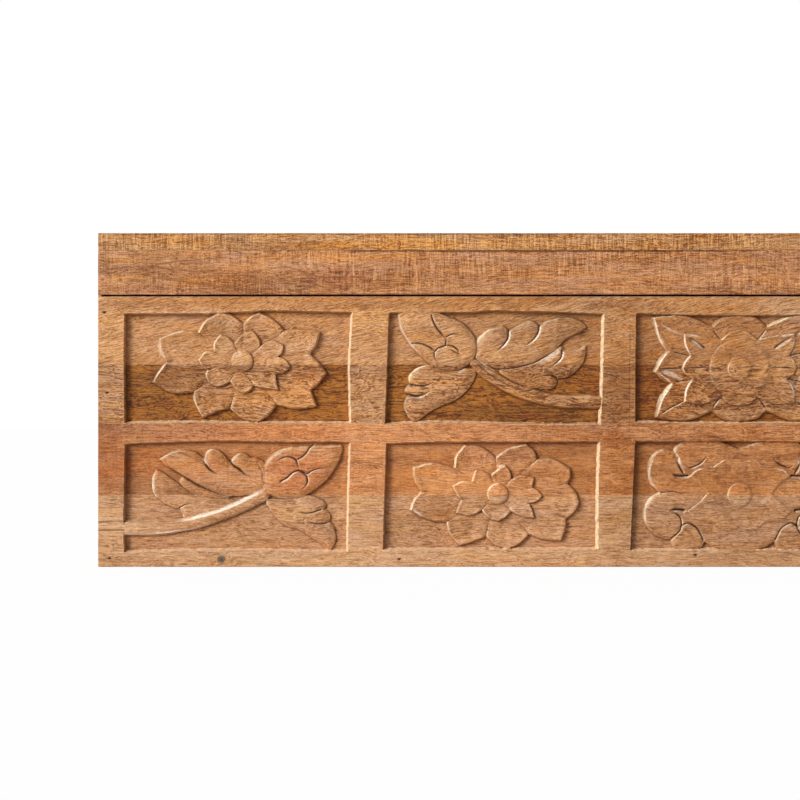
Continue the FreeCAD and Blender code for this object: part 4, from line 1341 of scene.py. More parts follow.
@dataclass(frozen=True)
class Shade:
    """A number that varies over a surface and takes part in sums."""

    recipe: Recipe
    socket: bpy.types.NodeSocket

    def _sum(self, operation: str, first: Any, second: Any) -> Shade:
        """Adds one arithmetic step."""
        return self.recipe.add("ShaderNodeMath", {"operation": operation}, {0: first, 1: second})

    def __add__(self, other: Any) -> Shade:
        """Sum."""
        return self._sum("ADD", self, other)

    def __sub__(self, other: Any) -> Shade:
        """Difference."""
        return self._sum("SUBTRACT", self, other)

    def __rsub__(self, other: Any) -> Shade:
        """Difference from a plain number."""
        return self._sum("SUBTRACT", other, self)

    def __mul__(self, other: Any) -> Shade:
        """Product."""
        return self._sum("MULTIPLY", self, other)

    __radd__ = __add__
    __rmul__ = __mul__

    def step(self, low: float, high: float) -> Shade:
        """Goes smoothly from 0 at the low value to 1 at the high one."""
        values = {"Value": self, "From Min": low, "From Max": high}
        return self.recipe.add("ShaderNodeMapRange", {"interpolation_type": "SMOOTHSTEP"}, values)


class Nodes:
    """The nodes of one tree, as they are added."""

    def __init__(self, tree: bpy.types.NodeTree) -> None:
        """Takes the tree."""
        self.tree = tree

    def node(self, kind: str, settings: dict[str, Any], values: dict[Any, Any]) -> bpy.types.Node:
        """Adds any node.

        Args:
            kind: The node's type.
            settings: Its properties, set first.
            values: What goes into its sockets. A node stands for its first output.

        Returns:
            The node.
        """
        node = self.tree.nodes.new(kind)
        for name, value in settings.items():
            setattr(node, name, value)
        for name, value in values.items():
            if isinstance(value, bpy.types.Node):
                value = value.outputs[0]
            elif isinstance(value, Shade):
                value = value.socket
            if isinstance(value, bpy.types.NodeSocket):
                self.tree.links.new(value, node.inputs[name])
            else:
                node.inputs[name].default_value = value
        return node


class Recipe(Nodes):
    """The nodes of one surface, or of what lies round the scene."""

    def __init__(self, block: Any, along: Along = Along.WIDTH) -> None:
        """Starts the nodes.

        Args:
            block: The new material or world.
            along: The way that the grain runs.
        """
        block.use_nodes = True
        super().__init__(block.node_tree)
        self.tree.nodes.clear()
        self.block = block
        self.along = along
        self.place = self.add("ShaderNodeTexCoord", {}, {}, "Object")
        self.origin = self.place

    def add(self, kind: str, settings: dict[str, Any], values: dict[Any, Any], output: Any = 0) -> Shade:
        """Adds any node.

        Args:
            kind: The node's type.
            settings: Its properties, set first.
            values: What goes into its sockets.
            output: The name or number of the socket to hand back.

        Returns:
            The chosen output.
        """
        return Shade(self, self.node(kind, settings, values).outputs[output])

    def mix(self, share: Any, first: Any, second: Any, blend: str = "MIX") -> Shade:
        """Mixes two colours.

        Args:
            share: How much of the second colour shows.
            first: The first colour.
            second: The second colour.
            blend: The way of mixing.

        Returns:
            The mixed colour.
        """
        settings = {"data_type": "RGBA", "blend_type": blend, "clamp_factor": True}
        return self.add("ShaderNodeMix", settings, {"Factor": share, 6: first, 7: second}, 2)

    def vector(self, operation: str, first: Any, second: Any) -> Shade:
        """Works out a vector from two others."""
        return self.add("ShaderNodeVectorMath", {"operation": operation}, {0: first, 1: second})

    def axis(self, vector: Shade, name: str) -> Shade:
        """One part of a vector."""
        return self.add("ShaderNodeSeparateXYZ", {}, {0: vector}, name)

    def mark(self, name: str) -> Shade:
        """A number that the piece stores for each point."""
        return self.add("ShaderNodeAttribute", {"attribute_name": name}, {}, "Fac")

    def noise(
        self, scale: Spot, detail: float = 2.0, warp: float = 0.0, rough: float = 0.5, place: Any = None
    ) -> Shade:
        """Cloudy unevenness, with values round one half.

        Args:
            scale: Turns for each metre along the grain, across the board's face and through it.
            detail: How many finer layers it has.
            warp: How much it is bent.
            rough: How strong the finer layers are.
            place: Where the pattern is read, if not at the recipe's origin.

        Returns:
            The unevenness.
        """
        values = {"Vector": self.vector("MULTIPLY", place or self.origin, self.along.turned(scale))}
        values.update({"Scale": 1.0, "Detail": detail, "Roughness": rough, "Distortion": warp})
        return self.add("ShaderNodeTexNoise", {}, values, "Fac")

    def ramp(self, share: Shade, stops: Sequence[tuple[float, ...]]) -> Shade:
        """Colours a number by stops.

        Args:
            share: The number, from 0 to 1.
            stops: Each stop's place, red, green and blue, as multiples of a finish's own light.

        Returns:
            The colour, which may be brighter than 1.
        """
        coloured = self.add("ShaderNodeValToRGB", {}, {"Fac": share})
        elements = coloured.socket.node.color_ramp.elements
        for number, (place, *light) in enumerate(stops):
            stop = elements[number] if number < 2 else elements.new(place)
            stop.position = place
            stop.color = (*(part * 0.5 for part in light), 1.0)
        return self.mix(1.0, coloured, (2.0, 2.0, 2.0, 1.0), "MULTIPLY")

    def finish(self, values: dict[str, Any]) -> Material:
        """Ends the recipe with the surface's own shader and hands the material back."""
        surface = self.add("ShaderNodeBsdfPrincipled", {}, values)
        self.node("ShaderNodeOutputMaterial", {}, {"Surface": surface})
        return self.block


@dataclass(frozen=True)
class Patch:
    """A cloudy patch of another tone, placed by the photograph. Its tint multiplies the light."""

    across: float
    down: float
    half_width: float
    half_height: float
    tint: Tint
    strength: float = 0.6

    def over(self, recipe: Recipe, colour: Shade, cloud: Shade) -> Shade:
        """Lays the patch over a colour.

        Args:
            recipe: The nodes in hand.
            colour: The colour so far.
            cloud: Unevenness that frays the patch's edge.

        Returns:
            The colour with the patch.
        """
        middle = (PLANE.x(self.across) * MM, 0.0, PLANE.z(self.down) * MM)
        shares = (1 / (self.half_width * PLANE.pixel * MM), 0.0, 1 / (self.half_height * PLANE.pixel * MM))
        scaled = recipe.vector("MULTIPLY", recipe.vector("SUBTRACT", recipe.place, middle), shares)
        radius = recipe.add("ShaderNodeVectorMath", {"operation": "LENGTH"}, {0: scaled}, "Value")
        near = 1.0 - (radius + (cloud - 0.5) * 1.6).step(0.45, 1.15)
        return recipe.mix(near * self.strength, colour, (*self.tint, 1.0), "MULTIPLY")


def patched(*rows: tuple) -> tuple[Patch, ...]:
    """Patches from rows of their column, row, half width, half height, tint and strength."""
    return tuple(Patch(*row) for row in rows)


@dataclass(frozen=True)
class Vein:
    """A dark line of the grain, bent through three points of the photograph."""

    start: Pixel
    middle: Pixel
    end: Pixel
    strength: float = 0.6

    def dark(self, recipe: Recipe, fray: Shade) -> Shade:
        """How dark the line is at each place.

        Args:
            recipe: The nodes in hand.
            fray: Unevenness that breaks the line up, round one half.

        Returns:
            0 away from the line, up to its strength on it.
        """
        first = PLANE.x(self.start[0]) * MM
        length = PLANE.x(self.end[0]) * MM - first
        low, high = PLANE.z(self.start[1]) * MM, PLANE.z(self.end[1]) * MM
        bulge = PLANE.z(self.middle[1]) * MM - (low + high) / 2
        share = (recipe.axis(recipe.place, "X") - first) * (1 / length)
        hump = share * (1.0 - share) * 4.0
        height = share * (high - low) + hump * bulge + low
        away = (recipe.axis(recipe.place, "Z") - height) * (1 / (PLANE.pixel * MM)) + (fray - 0.5) * 2.5
        near = 1.0 - recipe.add("ShaderNodeMath", {"operation": "ABSOLUTE"}, {0: away}).step(0.3, 1.3)
        return near * hump.step(0.0, 0.5) * (0.4 + fray * 1.2) * self.strength


@dataclass(frozen=True)
class WoodFinish:
    """Waxed and weathered hardwood. Colours are as they look on a screen."""

    name: str
    colour: Tint
    along: Along = Along.WIDTH
    seed: float = 0.0
    figure: float = 1.0
    streak: float = 1.0
    mottle: float = 1.0
    dash: float = 1.0
    grain: float = 1.0
    pore: float = 0.5
    sawn: float = 0.0
    tilt: float = 0.0
    wave: float = 1.0
    lines: float = 0.4
    hue: float = 1.0
    gold: float = 0.0
    roughness: float = 0.6
    relief: float = 1.0
    board_change: float = 0.0
    patches: tuple[Patch, ...] = ()
    veins: tuple[Vein, ...] = ()

    def material(self) -> Material:
        """Builds the material."""
        return self.wood(self.start(), linear(*self.colour), 1.0)

    @staticmethod
    def shaded(colour: Tint, *levels: float) -> tuple[float, ...]:
        """A colour with each part of its light changed."""
        return (*(min(part * level, 1.0) for part, level in zip(linear(*colour), levels)), 1.0)

    def start(self) -> Recipe:
        """Starts the nodes, with the pattern moved by the finish's seed and the board's own number.

        Returns:
            The nodes.
        """
        recipe = Recipe(bpy.data.materials.new(self.name), self.along)
        board = recipe.mark("board")
        shift = recipe.add("ShaderNodeCombineXYZ", {}, {0: board * 3.17, 1: board * 1.73, 2: board * 2.39})
        offset = (self.seed * 1.9, self.seed * 0.7, self.seed * 1.3)
        recipe.origin = recipe.vector("ADD", recipe.vector("ADD", recipe.place, shift), offset)
        return recipe

    def wood(self, recipe: Recipe, base: Any, strength: Any) -> Material:
        """Adds the wood's grain, pores, saw marks, gloss, and the finish's surface marks: worn edges and
        dark joints, or on the front boards painted highlights and painted shade with some dirt.

        Args:
            recipe: The nodes in hand.
            base: The plain colour.
            strength: How strong the pattern is.

        Returns:
            The finished material.
        """
        figure = recipe.noise((2.4, 24.0, 20.0), 3.0, 1.3, 0.55)
        streak = recipe.noise((9.0, 250.0, 190.0), 3.0, 0.8, 0.62)
        mottle = recipe.noise((30.0, 58.0, 56.0), 3.0, 0.3, 0.6)
        wavy = self._wavy(recipe)
        close = wavy
        if self.tilt:
            turn = {"Vector": wavy, "Angle": math.radians(self.tilt)}
            close = recipe.add("ShaderNodeVectorRotate", {"rotation_type": "Y_AXIS"}, turn)
        dash = recipe.noise((50.0, 900.0, 820.0), 1.5, 0.25, 0.65, close)
        grain = recipe.noise((330.0, 900.0, 840.0), 1.0, 0.0, 0.65)
        line = recipe.noise((12.0, 520.0, 470.0), 1.5, 0.2, 0.6, wavy)
        tone = (figure - 0.5) * (0.9 * self.figure) + (streak - 0.5) * (0.4 * self.streak)
        tone = tone + (mottle - 0.5) * (0.42 * self.mottle) + (line - 0.5) * (0.9 * self.lines)
        tone = tone + (dash - 0.5) * (1.9 * self.dash) + (grain - 0.5) * (0.85 * self.grain)
        height = streak * 0.2 + dash * 0.5 + grain * 0.5
        if self.sawn:
            saw, ridges = self._saw_marks(recipe)
            tone = tone + saw * (0.6 * self.sawn)
            height = height + ridges * self.sawn
        if self.board_change:
            number = recipe.mark("board") * 12.9898 + 0.4
            change = recipe.add("ShaderNodeMath", {"operation": "SINE"}, {0: number})
            tone = tone + change * (0.6 * self.board_change)
        dark_tint, pale_tint = (0.0, 0.34, 0.22, 0.12), (1.0, 1.6, 1.84, 2.2)
        between = ((0.28, 0.66, 0.57, 0.47), (0.52, 1.0, 1.0, 1.0), (0.76, 1.27, 1.37, 1.54))
        tint = recipe.ramp(tone * strength + 0.5, (dark_tint, pale_tint, *between))
        colour = recipe.mix(1.0, base, tint, "MULTIPLY")
        hue = (recipe.noise((11.0, 66.0, 60.0), 3.0, 0.7, 0.62) - 0.5) * (2.6 * self.hue) + 0.5
        warm = recipe.ramp(hue, ((0.0, 1.05, 0.95, 0.7), (1.0, 0.97, 1.03, 1.28), (0.5, 1.0, 1.0, 1.0)))
        colour = recipe.mix(1.0, colour, warm, "MULTIPLY")
        dark = (dash * 0.7 + line * 0.3).step(0.56, 0.68) * 0.8 + line.step(0.58, 0.7) * 0.7
        dark = dark * (0.45 + (1.0 - mottle).step(0.36, 0.62) * 0.55) * strength
        colour = recipe.mix(dark * self.pore, colour, self.shaded(self.colour, 0.36, 0.24, 0.14))
        if self.gold:
            golden = recipe.noise((14.0, 90.0, 120.0), 3.0, 0.6, 0.6).step(0.55, 0.68)
            colour = recipe.mix(golden * self.gold, colour, linear(196, 124, 42))
        for patch in self.patches:
            colour = patch.over(recipe, colour, mottle + (grain - 0.5) * 0.5)
        for vein in self.veins:
            shown = vein.dark(recipe, mottle * 0.5 + grain * 0.5)
            colour = recipe.mix(shown, colour, self.shaded(self.colour, 0.42, 0.28, 0.2))
        colour, height, gloss = self.surface_marks(recipe, colour, height, mottle)
        bump = {"Strength": 0.7 * self.relief, "Distance": 0.0006, "Height": height}
        values = {"Base Color": colour, "Normal": recipe.add("ShaderNodeBump", {}, bump)}
        values["Roughness"] = self.roughness + (streak - 0.5) * 0.35 + gloss
        return recipe.finish({**values, "Specular IOR Level": 0.35})

    def _wavy(self, recipe: Recipe) -> Shade:
        """Bends the pattern's place up and down, so that the grain runs in gentle waves.

        Args:
            recipe: The nodes in hand.

        Returns:
            The bent place.
        """
        swing = 0.006 * self.wave
        wide = recipe.noise((9.0, 16.0, 16.0), 1.0)
        short = recipe.noise((46.0, 60.0, 60.0), 1.0)
        shift = (wide - 0.5) * (5.0 * swing) + (short - 0.5) * swing
        bend = recipe.add("ShaderNodeCombineXYZ", {}, {"Y": shift, "Z": shift})
        return recipe.vector("ADD", recipe.origin, bend)

    @staticmethod
    def _saw_marks(recipe: Recipe) -> tuple[Shade, Shade]:
        """Marks of a band saw across the grain.

        Args:
            recipe: The nodes in hand.

        Returns:
            The change of tone and the ridges' height.
        """
        wide = recipe.noise((230.0, 12.0, 16.0), 3.0, 0.25, 0.7)
        close = recipe.noise((640.0, 52.0, 52.0), 1.5, 0.3, 0.6)
        fuzz = recipe.noise((720.0, 760.0, 700.0), 1.0, 0.0, 0.6)
        shown = recipe.noise((13.0, 26.0, 26.0), 2.0, 0.4).step(0.38, 0.62) * 0.85 + 0.35
        tone = (close - 0.5) * 2.1 * shown + wide.step(0.60, 0.70) * 0.8 * shown + (fuzz - 0.5) * 1.7 - 0.06
        return tone, close * 0.6 * shown + wide * 0.5

    def surface_marks(self, recipe: Recipe, colour: Shade, height: Shade, mottle: Shade) -> tuple[Shade, ...]:
        """Lightens worn edges and darkens joints.

        Args:
            recipe: The nodes in hand.
            colour: The colour so far.
            height: The relief so far.
            mottle: The cloudy pattern.

        Returns:
            The colour, the relief, and the change of roughness.
        """
        joint = recipe.mark("joint")
        edge = recipe.mark("edge") * mottle.step(0.3, 0.6) * (1.0 - joint)
        colour = recipe.mix(edge * 0.35, colour, self.shaded(self.colour, 1.5, 1.6, 1.8))
        colour = recipe.mix(joint * 0.8, colour, self.shaded(self.colour, 0.2, 0.14, 0.1))
        return colour, height, edge * 0.05


@dataclass(frozen=True)
class CarvedFinish(WoodFinish):
    """A front board: its face, the carving's tops, and the sunk floor each have their own tone."""

    carved: Tint = (183, 130, 86)
    floor: Tint = (180, 130, 88)
    drift: Points = ((98.0, 1.0), (870.0, 1.0))
    # How strong the painted shade with some dirt at the feet of walls and near them is, and how strong the
    # painted highlights are.
    foot_darkening: float = 0.54
    dirt_and_shade: float = 0.3
    highlight_strength: float = 0.95
    floor_strength: float = 0.15
    carved_strength: float = 0.1

    def material(self) -> Material:
        """Builds the material.

        Returns:
            The board's material.
        """
        recipe = self.start()
        depth = (recipe.axis(recipe.place, "Y") - PLANE.front * MM) * (1 / MM)
        cut = depth.step(0.5, 2.0)
        sunk = depth.step(6.4, 8.8) * (1.0 - recipe.mark("raised"))
        tone = recipe.mix(cut, linear(*self.colour), linear(*self.carved))
        base = recipe.mix(sunk, tone, linear(*self.floor))
        strength = 1.0 + sunk * self.floor_strength + cut * (1.0 - sunk) * self.carved_strength
        return self.wood(recipe, base, strength)

    def surface_marks(self, recipe: Recipe, colour: Shade, height: Shade, mottle: Shade) -> tuple[Shade, ...]:
        """Adds the drift of tone along the board, painted highlights on walls, rims and edges turned to the
        light, pale bared wood, and painted shade with some dirt at the feet of walls, round forms and in
        cuts.

        Args:
            recipe: The nodes in hand.
            colour: The colour so far.
            height: The relief so far.
            mottle: The cloudy pattern.

        Returns:
            The colour, the relief, and the change of roughness.
        """
        first, last = self.drift[0][0], self.drift[-1][0]
        across = recipe.axis(recipe.place, "X") - PLANE.x(first) * MM
        share = across * (1 / ((PLANE.x(last) - PLANE.x(first)) * MM))
        ends = (self.drift[0], self.drift[-1], *self.drift[1:-1])
        levels = [((pixel - first) / (last - first), level, level, level) for pixel, level in ends]
        colour = recipe.mix(1.0, colour, recipe.ramp(share, levels), "MULTIPLY")
        grit = recipe.noise((260.0, 320.0, 300.0), 2.0, 0.0, 0.6)
        # A dark brown for painted shade with some dirt, and for painted shadow in cuts.
        dirt_and_shadow_brown = self.shaded(self.floor, 0.12, 0.07, 0.04)
        # Painted shade with some dirt near walls and forms.
        dirt_and_shade = recipe.mark("dirt_and_shade") * (0.6 + grit * 0.8)
        colour = recipe.mix(dirt_and_shade * self.dirt_and_shade, colour, (0.52, 0.42, 0.32, 1.0), "MULTIPLY")
        # Painted shade with some dirt at the feet of walls and forms, and round nail hollows.
        foot = recipe.mark("foot") * (0.45 + grit * 1.0)
        colour = recipe.mix(foot * self.foot_darkening, colour, dirt_and_shadow_brown)
        cut_shadow, lit, wall = (recipe.mark(name) for name in ("cut_shadow", "lit_side", "wall"))
        broken = grit.step(0.36, 0.56)
        fitful = recipe.noise((34.0, 34.0, 34.0)).step(0.38, 0.62)
        # Painted highlights: walls turned to the light go cream, upward ledges pink, and rims and edges
        # paler on the lit side.
        edge = recipe.mark("edge") * (broken * 0.7 + 0.3) * (0.3 + fitful * 0.9)
        lit_wall_highlight = wall * lit.step(0.62, 0.8) * (0.7 + broken * 0.3)
        lit_ledge_highlight = wall * lit.step(0.2, 0.42) * (1.0 - lit.step(0.62, 0.8)) * (0.5 + broken * 0.5)
        rim = lit.step(0.25, 0.7) * (1.0 - wall) * (0.22 + fitful * 0.55) * (broken * 0.5 + 0.5)
        colour = recipe.mix(lit_ledge_highlight, colour, linear(255, 214, 172))
        pale = lit_wall_highlight * 1.05 + rim + edge * 0.5 * (0.12 + lit * 1.3)
        colour = recipe.mix(pale * self.highlight_strength * (1.0 - cut_shadow), colour, linear(255, 236, 196))
        # Painted shadow in narrow cuts.
        colour = recipe.mix(cut_shadow * (0.7 + grit * 0.6), colour, dirt_and_shadow_brown)
        # Pale lines of bared wood and painted highlights.
        scratchy = recipe.noise((150.0, 700.0, 640.0), 2.0, 0.3, 0.6).step(0.36, 0.6)
        bare_and_highlight = recipe.mark("bare_and_highlight")
        bare_and_highlight = bare_and_highlight * (scratchy * 0.75 + 0.3 + bare_and_highlight.step(0.6, 0.9) * 0.3)
        colour = recipe.mix(bare_and_highlight, colour, linear(255, 240, 220))
        return colour, height + grit * 0.35, foot * 0.12 - 0.03


def steel_material(name: str, colour: Tint, rust: float, metal: float = 0.9) -> Material:
    """Dull old steel with rust in patches.

    Args:
        name: The material's name.
        colour: The clean metal's colour, as it looks on a screen.
        rust: How much of it is rusty, from 0 to 1.
        metal: How metallic the clean parts are.

    Returns:
        The finished material.
    """
    recipe = Recipe(bpy.data.materials.new(name))
    cloud = recipe.noise((190.0, 190.0, 190.0), 4.0, 0.3, 0.6)
    speck = recipe.noise((1400.0, 1400.0, 1400.0), 2.0, 0.0, 0.6)
    patch = (cloud + (speck - 0.5) * 0.5).step(0.62 - rust * 0.3, 0.78 - rust * 0.3)
    clean = recipe.mix(speck, linear(*colour), linear(*colour, 0.7))
    bump = {"Strength": 0.4, "Distance": 0.0002, "Height": speck + patch * 0.6}
    return recipe.finish({
        "Base Color": recipe.mix(patch, clean, linear(92, 56, 38)),
        "Metallic": metal * (1.0 - patch * 0.9),
        "Roughness": 0.38 + patch * 0.4 + speck * 0.1,
        "Normal": recipe.add("ShaderNodeBump", {}, bump),
    })


# Nails

@dataclass(frozen=True)
class Nails:
    """One group of hand-driven nails that all point the same way."""

    node: str
    body: str
    spots: tuple[Spot, ...]
    outward: Spot
    length: float = 40.0
    head: float = 2.2
    head_thick: float = 1.0
    shank: float = 1.2
    squash: float = 0.5
    sunk: float = 0.35
    seed: int = 3
    name: str = ""

    def build(self, material: Material) -> Piece:
        """Places one nail at each spot.

        Args:
            material: The nails' finish.

        Returns:
            All nails of the group as one plain mesh.
        """
        spots = np.array(self.spots) - np.array(self.outward) * self.sunk
        carrier = new_piece(f"{self.node}_spots", bpy.data.meshes.new(f"{self.node}_spots"))
        carrier.data.from_pydata([tuple(spot * MM) for spot in spots], [], [])
        modifier = carrier.modifiers.new("nails", "NODES")
        modifier.node_group = nail_tree(material)
        amounts = {
            "Head radius": self.head * MM, "Head height": self.head_thick * MM, "Head squash": self.squash,
            "Shank radius": self.shank * MM, "Length": self.length * MM, "Outward": self.outward,
            "Seed": self.seed,
        }
        for item in modifier.node_group.interface.items_tree:
            if item.name in amounts:
                modifier[item.identifier] = amounts[item.name]
        shown = carrier.evaluated_get(bpy.context.evaluated_depsgraph_get())
        mesh = bpy.data.meshes.new_from_object(shown)
        carrier.modifiers.clear()
        bpy.data.objects.remove(carrier)
        piece = new_piece(self.name or f"{self.node}_driven", mesh)
        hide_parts(self.node)
        return piece


def nail_tree(material: Material) -> bpy.types.NodeTree:
    """A tree that drives one uneven nail at each point, head outwards.

    Args:
        material: The nails' finish.

    Returns:
        The tree.
    """
    tree = Nodes(bpy.data.node_groups.new("driven_nails", "GeometryNodeTree"))
    for way in ("INPUT", "OUTPUT"):
        tree.tree.interface.new_socket("Geometry", in_out=way, socket_type="NodeSocketGeometry")
    for name, kind, usual in (
        ("Head radius", "Float", 0.0022), ("Head height", "Float", 0.001), ("Head squash", "Float", 0.5),
        ("Shank radius", "Float", 0.0012), ("Length", "Float", 0.04), ("Seed", "Int", 3),
        ("Outward", "Vector", (0.0, 0.0, 1.0)),
    ):
        socket = tree.tree.interface.new_socket(name, in_out="INPUT", socket_type=f"NodeSocket{kind}")
        socket.default_value = usual
    sizes = tree.node("NodeGroupInput", {}, {}).outputs
    thick, seed, vectors = sizes["Head height"], sizes["Seed"], {"data_type": "FLOAT_VECTOR"}
    filled = {"fill_type": "NGON"}
    round_head = {"Vertices": 12, "Side Segments": 2, "Radius": sizes["Head radius"], "Depth": thick}
    head = tree.node("GeometryNodeMeshCylinder", filled, round_head)
    down = tree.node("ShaderNodeMath", {"operation": "MULTIPLY"}, {0: thick, 1: -0.5})
    lowered = tree.node("ShaderNodeCombineXYZ", {}, {"Z": down})
    flat = tree.node("ShaderNodeCombineXYZ", {}, {"X": 1.0, "Y": sizes["Head squash"], "Z": 1.0})
    set_head = {"Geometry": head, "Translation": lowered, "Scale": flat}
    point = {"Radius Top": 0.0003, "Radius Bottom": sizes["Shank radius"], "Depth": sizes["Length"]}
    shank = tree.node("GeometryNodeMeshCone", filled, {"Vertices": 8, **point})
    upside = {"Geometry": shank, "Rotation": (math.pi, 0.0, 0.0)}
    both = tree.node("GeometryNodeJoinGeometry", {}, {})
    for part in (set_head, upside):
        placed = tree.node("GeometryNodeTransform", {}, part)
        tree.tree.links.new(placed.outputs[0], both.inputs[0])
    turns = {0: (-0.05, -0.05, -0.5), 1: (0.05, 0.05, 0.5), "Seed": seed}
    spin = tree.node("FunctionNodeRandomValue", vectors, turns)
    aim = tree.node("FunctionNodeAlignRotationToVector", {"axis": "Z"}, {"Vector": sizes["Outward"]})
    tilt = {"Rotation": aim, "Rotate By": spin}
    turn = tree.node("FunctionNodeRotateRotation", {"rotation_space": "LOCAL"}, tilt)
    growth = {0: (0.86, 0.86, 0.96), 1: (1.0, 1.0, 1.0), "Seed": seed}
    spread = tree.node("FunctionNodeRandomValue", vectors, growth)
    driven = {"Points": sizes["Geometry"], "Instance": both, "Rotation": turn, "Scale": spread}
    nails = tree.node("GeometryNodeInstanceOnPoints", {}, driven)
    real = tree.node("GeometryNodeRealizeInstances", {}, {"Geometry": nails})
    dressed = tree.node("GeometryNodeSetMaterial", {}, {"Geometry": real, "Material": material})
    tree.node("NodeGroupOutput", {}, {"Geometry": dressed})
    return tree.tree


@dataclass(frozen=True)
class NailPlan:
    """Where every nail's head lies, in millimetres."""

    side: float = 440.0
    batten: float = 225.0
    wall: float = 450.0
    face: float = 200.0
    lid_top: float = 390.0
    low: float = 10.0
    rail: float = 190.0
    front_low: Points = ((-98.1, 9.3), (247.5, 14.06))
    front_round: Pixel = (-306.0, 8.74)
    round_head: float = 4.1
    front_corner: Points = ((436.6, 10.16), (439.5, 203.52), (442.4, 297.4))
    back_corner: tuple[float, ...] = (41.0, 119.0, 197.5, 277.5)
    spread: tuple[float, ...] = (-299.7, -99.9, 99.9, 299.7)
    floor_rows: tuple[float, ...] = (-133.25, -43.75, 45.75, 135.25)
    lid_rows: tuple[float, ...] = (-160.0, -80.0, 0.0, 80.0, 160.0)

    def front(self) -> tuple[Spot, ...]:
        """Flat cut heads on the carved front."""
        corners = [(side * x, -self.face, z) for side in (-1, 1) for x, z in self.front_corner]
        return (*corners, *((x, -self.face, z) for x, z in self.front_low))

    def round_spot(self) -> Spot:
        """The one large round head on the front."""
        return self.front_round[0], -self.face, self.front_round[1]

    def back(self) -> tuple[Spot, ...]:
        """Heads on the back."""
        corners = [(side * self.side, self.face, z) for side in (-1, 1) for z in self.back_corner]
        return (*corners, *((x, self.face, self.low) for x in self.spread))

    def end(self, side: int) -> tuple[Spot, ...]:
        """Heads on one end wall."""
        return tuple((side * self.wall, y, self.low) for y in self.floor_rows)

    def lid(self) -> tuple[Spot, ...]:
        """Heads on the lid's top."""
        columns = [side * x for x in (self.side, self.batten) for side in (-1, 1)]
        along = [(x, side * self.rail, self.lid_top) for side in (-1, 1) for x in self.spread]
        return (*((x, y, self.lid_top) for x in columns for y in self.lid_rows), *along)


# The chest's parts

def dress(piece: Piece, material: Material, body: str) -> None:
    """Gives a new piece its finish and its place among the bodies.

    Args:
        piece: The piece.
        material: Its finish.
        body: The body that it moves with.
    """
    piece.data.materials.clear()
    piece.data.materials.append(material)
    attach(piece, body)
    log.info("%s: %d faces on %s", piece.name, len(piece.data.polygons), body)


def redress(node: str, material: Material) -> None:
    """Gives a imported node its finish.

    Args:
        node: The node's name.
        material: Its finish.
    """
    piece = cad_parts[node]
    for slot in piece.material_slots:
        slot.material = material
    if not piece.material_slots:
        piece.data.materials.append(material)
    log.info("%s: new finish", node)


# Painted shadow of the gap between lid and box on the ends: a dark line at the lid's underside.
END_GAP_SHADOW = patched(*((across, 294.7, 40.0, 1.0, (0.36, 0.28, 0.22), 0.85) for across in (98.0, 868.8)))
PALE_BOARD = CarvedFinish(
    "front_wood_pale", (201, 153, 109), seed=1.0, figure=0.6, streak=0.8, mottle=0.5, pore=0.3, grain=0.8,
    dash=0.8, hue=0.7, floor_strength=0.05, carved=(192, 141, 98), floor=(190, 140, 98),
    drift=((98.0, 1.0), (560.0, 1.0), (620.0, 0.86), (870.0, 0.92)),
    patches=patched(
        (106.5, 545.6, 2.6, 1.0, (0.5, 0.42, 0.36), 0.9), (104.0, 555.0, 1.6, 1.6, (0.5, 0.42, 0.36), 0.9),
        (117.0, 557.5, 2.4, 1.0, (0.6, 0.5, 0.42), 0.8), (214.5, 562.0, 6.0, 1.0, (0.55, 0.45, 0.38), 0.8),
        (618, 528, 18, 40, (0.93, 0.88, 0.77), 1.0), (437, 508, 24, 15, (0.87, 0.78, 0.62), 1.0),
        (298, 513, 24, 13, (1.12, 1.2, 1.25), 1.0), (305, 560, 110, 8, (1.04, 1.09, 1.12), 0.9),
        (225, 542, 55, 8, (0.89, 0.93, 0.97), 0.9), (401, 532, 15, 20, (0.92, 0.94, 0.88), 0.9),
        (640, 522, 10, 34, (0.97, 0.94, 0.81), 0.9),
    ),
)
RED_BOARD = CarvedFinish(
    "front_wood_red", (205, 139, 86), seed=2.0, figure=0.9, streak=0.6, mottle=0.9, pore=0.24, sawn=0.22,
    grain=0.9, dash=0.85, floor_strength=-0.2, carved_strength=-0.1, carved=(198, 136, 84),
    floor=(188, 124, 70), drift=(
        (98.0, 0.64), (135.0, 0.78), (250.0, 0.98), (360.0, 1.0), (480.0, 1.06), (600.0, 0.84),
        (870.0, 0.9),
    ),
    patches=patched(
        (106, 460, 30, 40, (0.94, 0.74, 0.56), 1.0), (150, 464, 26, 16, (1.2, 1.04, 0.88), 1.0),
        (700, 490, 110, 60, (0.92, 0.84, 0.68), 1.0), (618, 462, 18, 50, (0.87, 0.79, 0.6), 1.0),
        (480, 457, 22, 9, (1.15, 1.17, 1.25), 1.0), (300, 472, 38, 24, (0.94, 0.8, 0.75), 1.0),
        (202, 468, 28, 16, (1.12, 1.07, 1.14), 0.9), (644, 470, 11, 36, (0.86, 0.82, 0.73), 1.0),
        (235, 433, 160, 11, (1.0, 0.92, 0.9), 0.9),
    ),
)
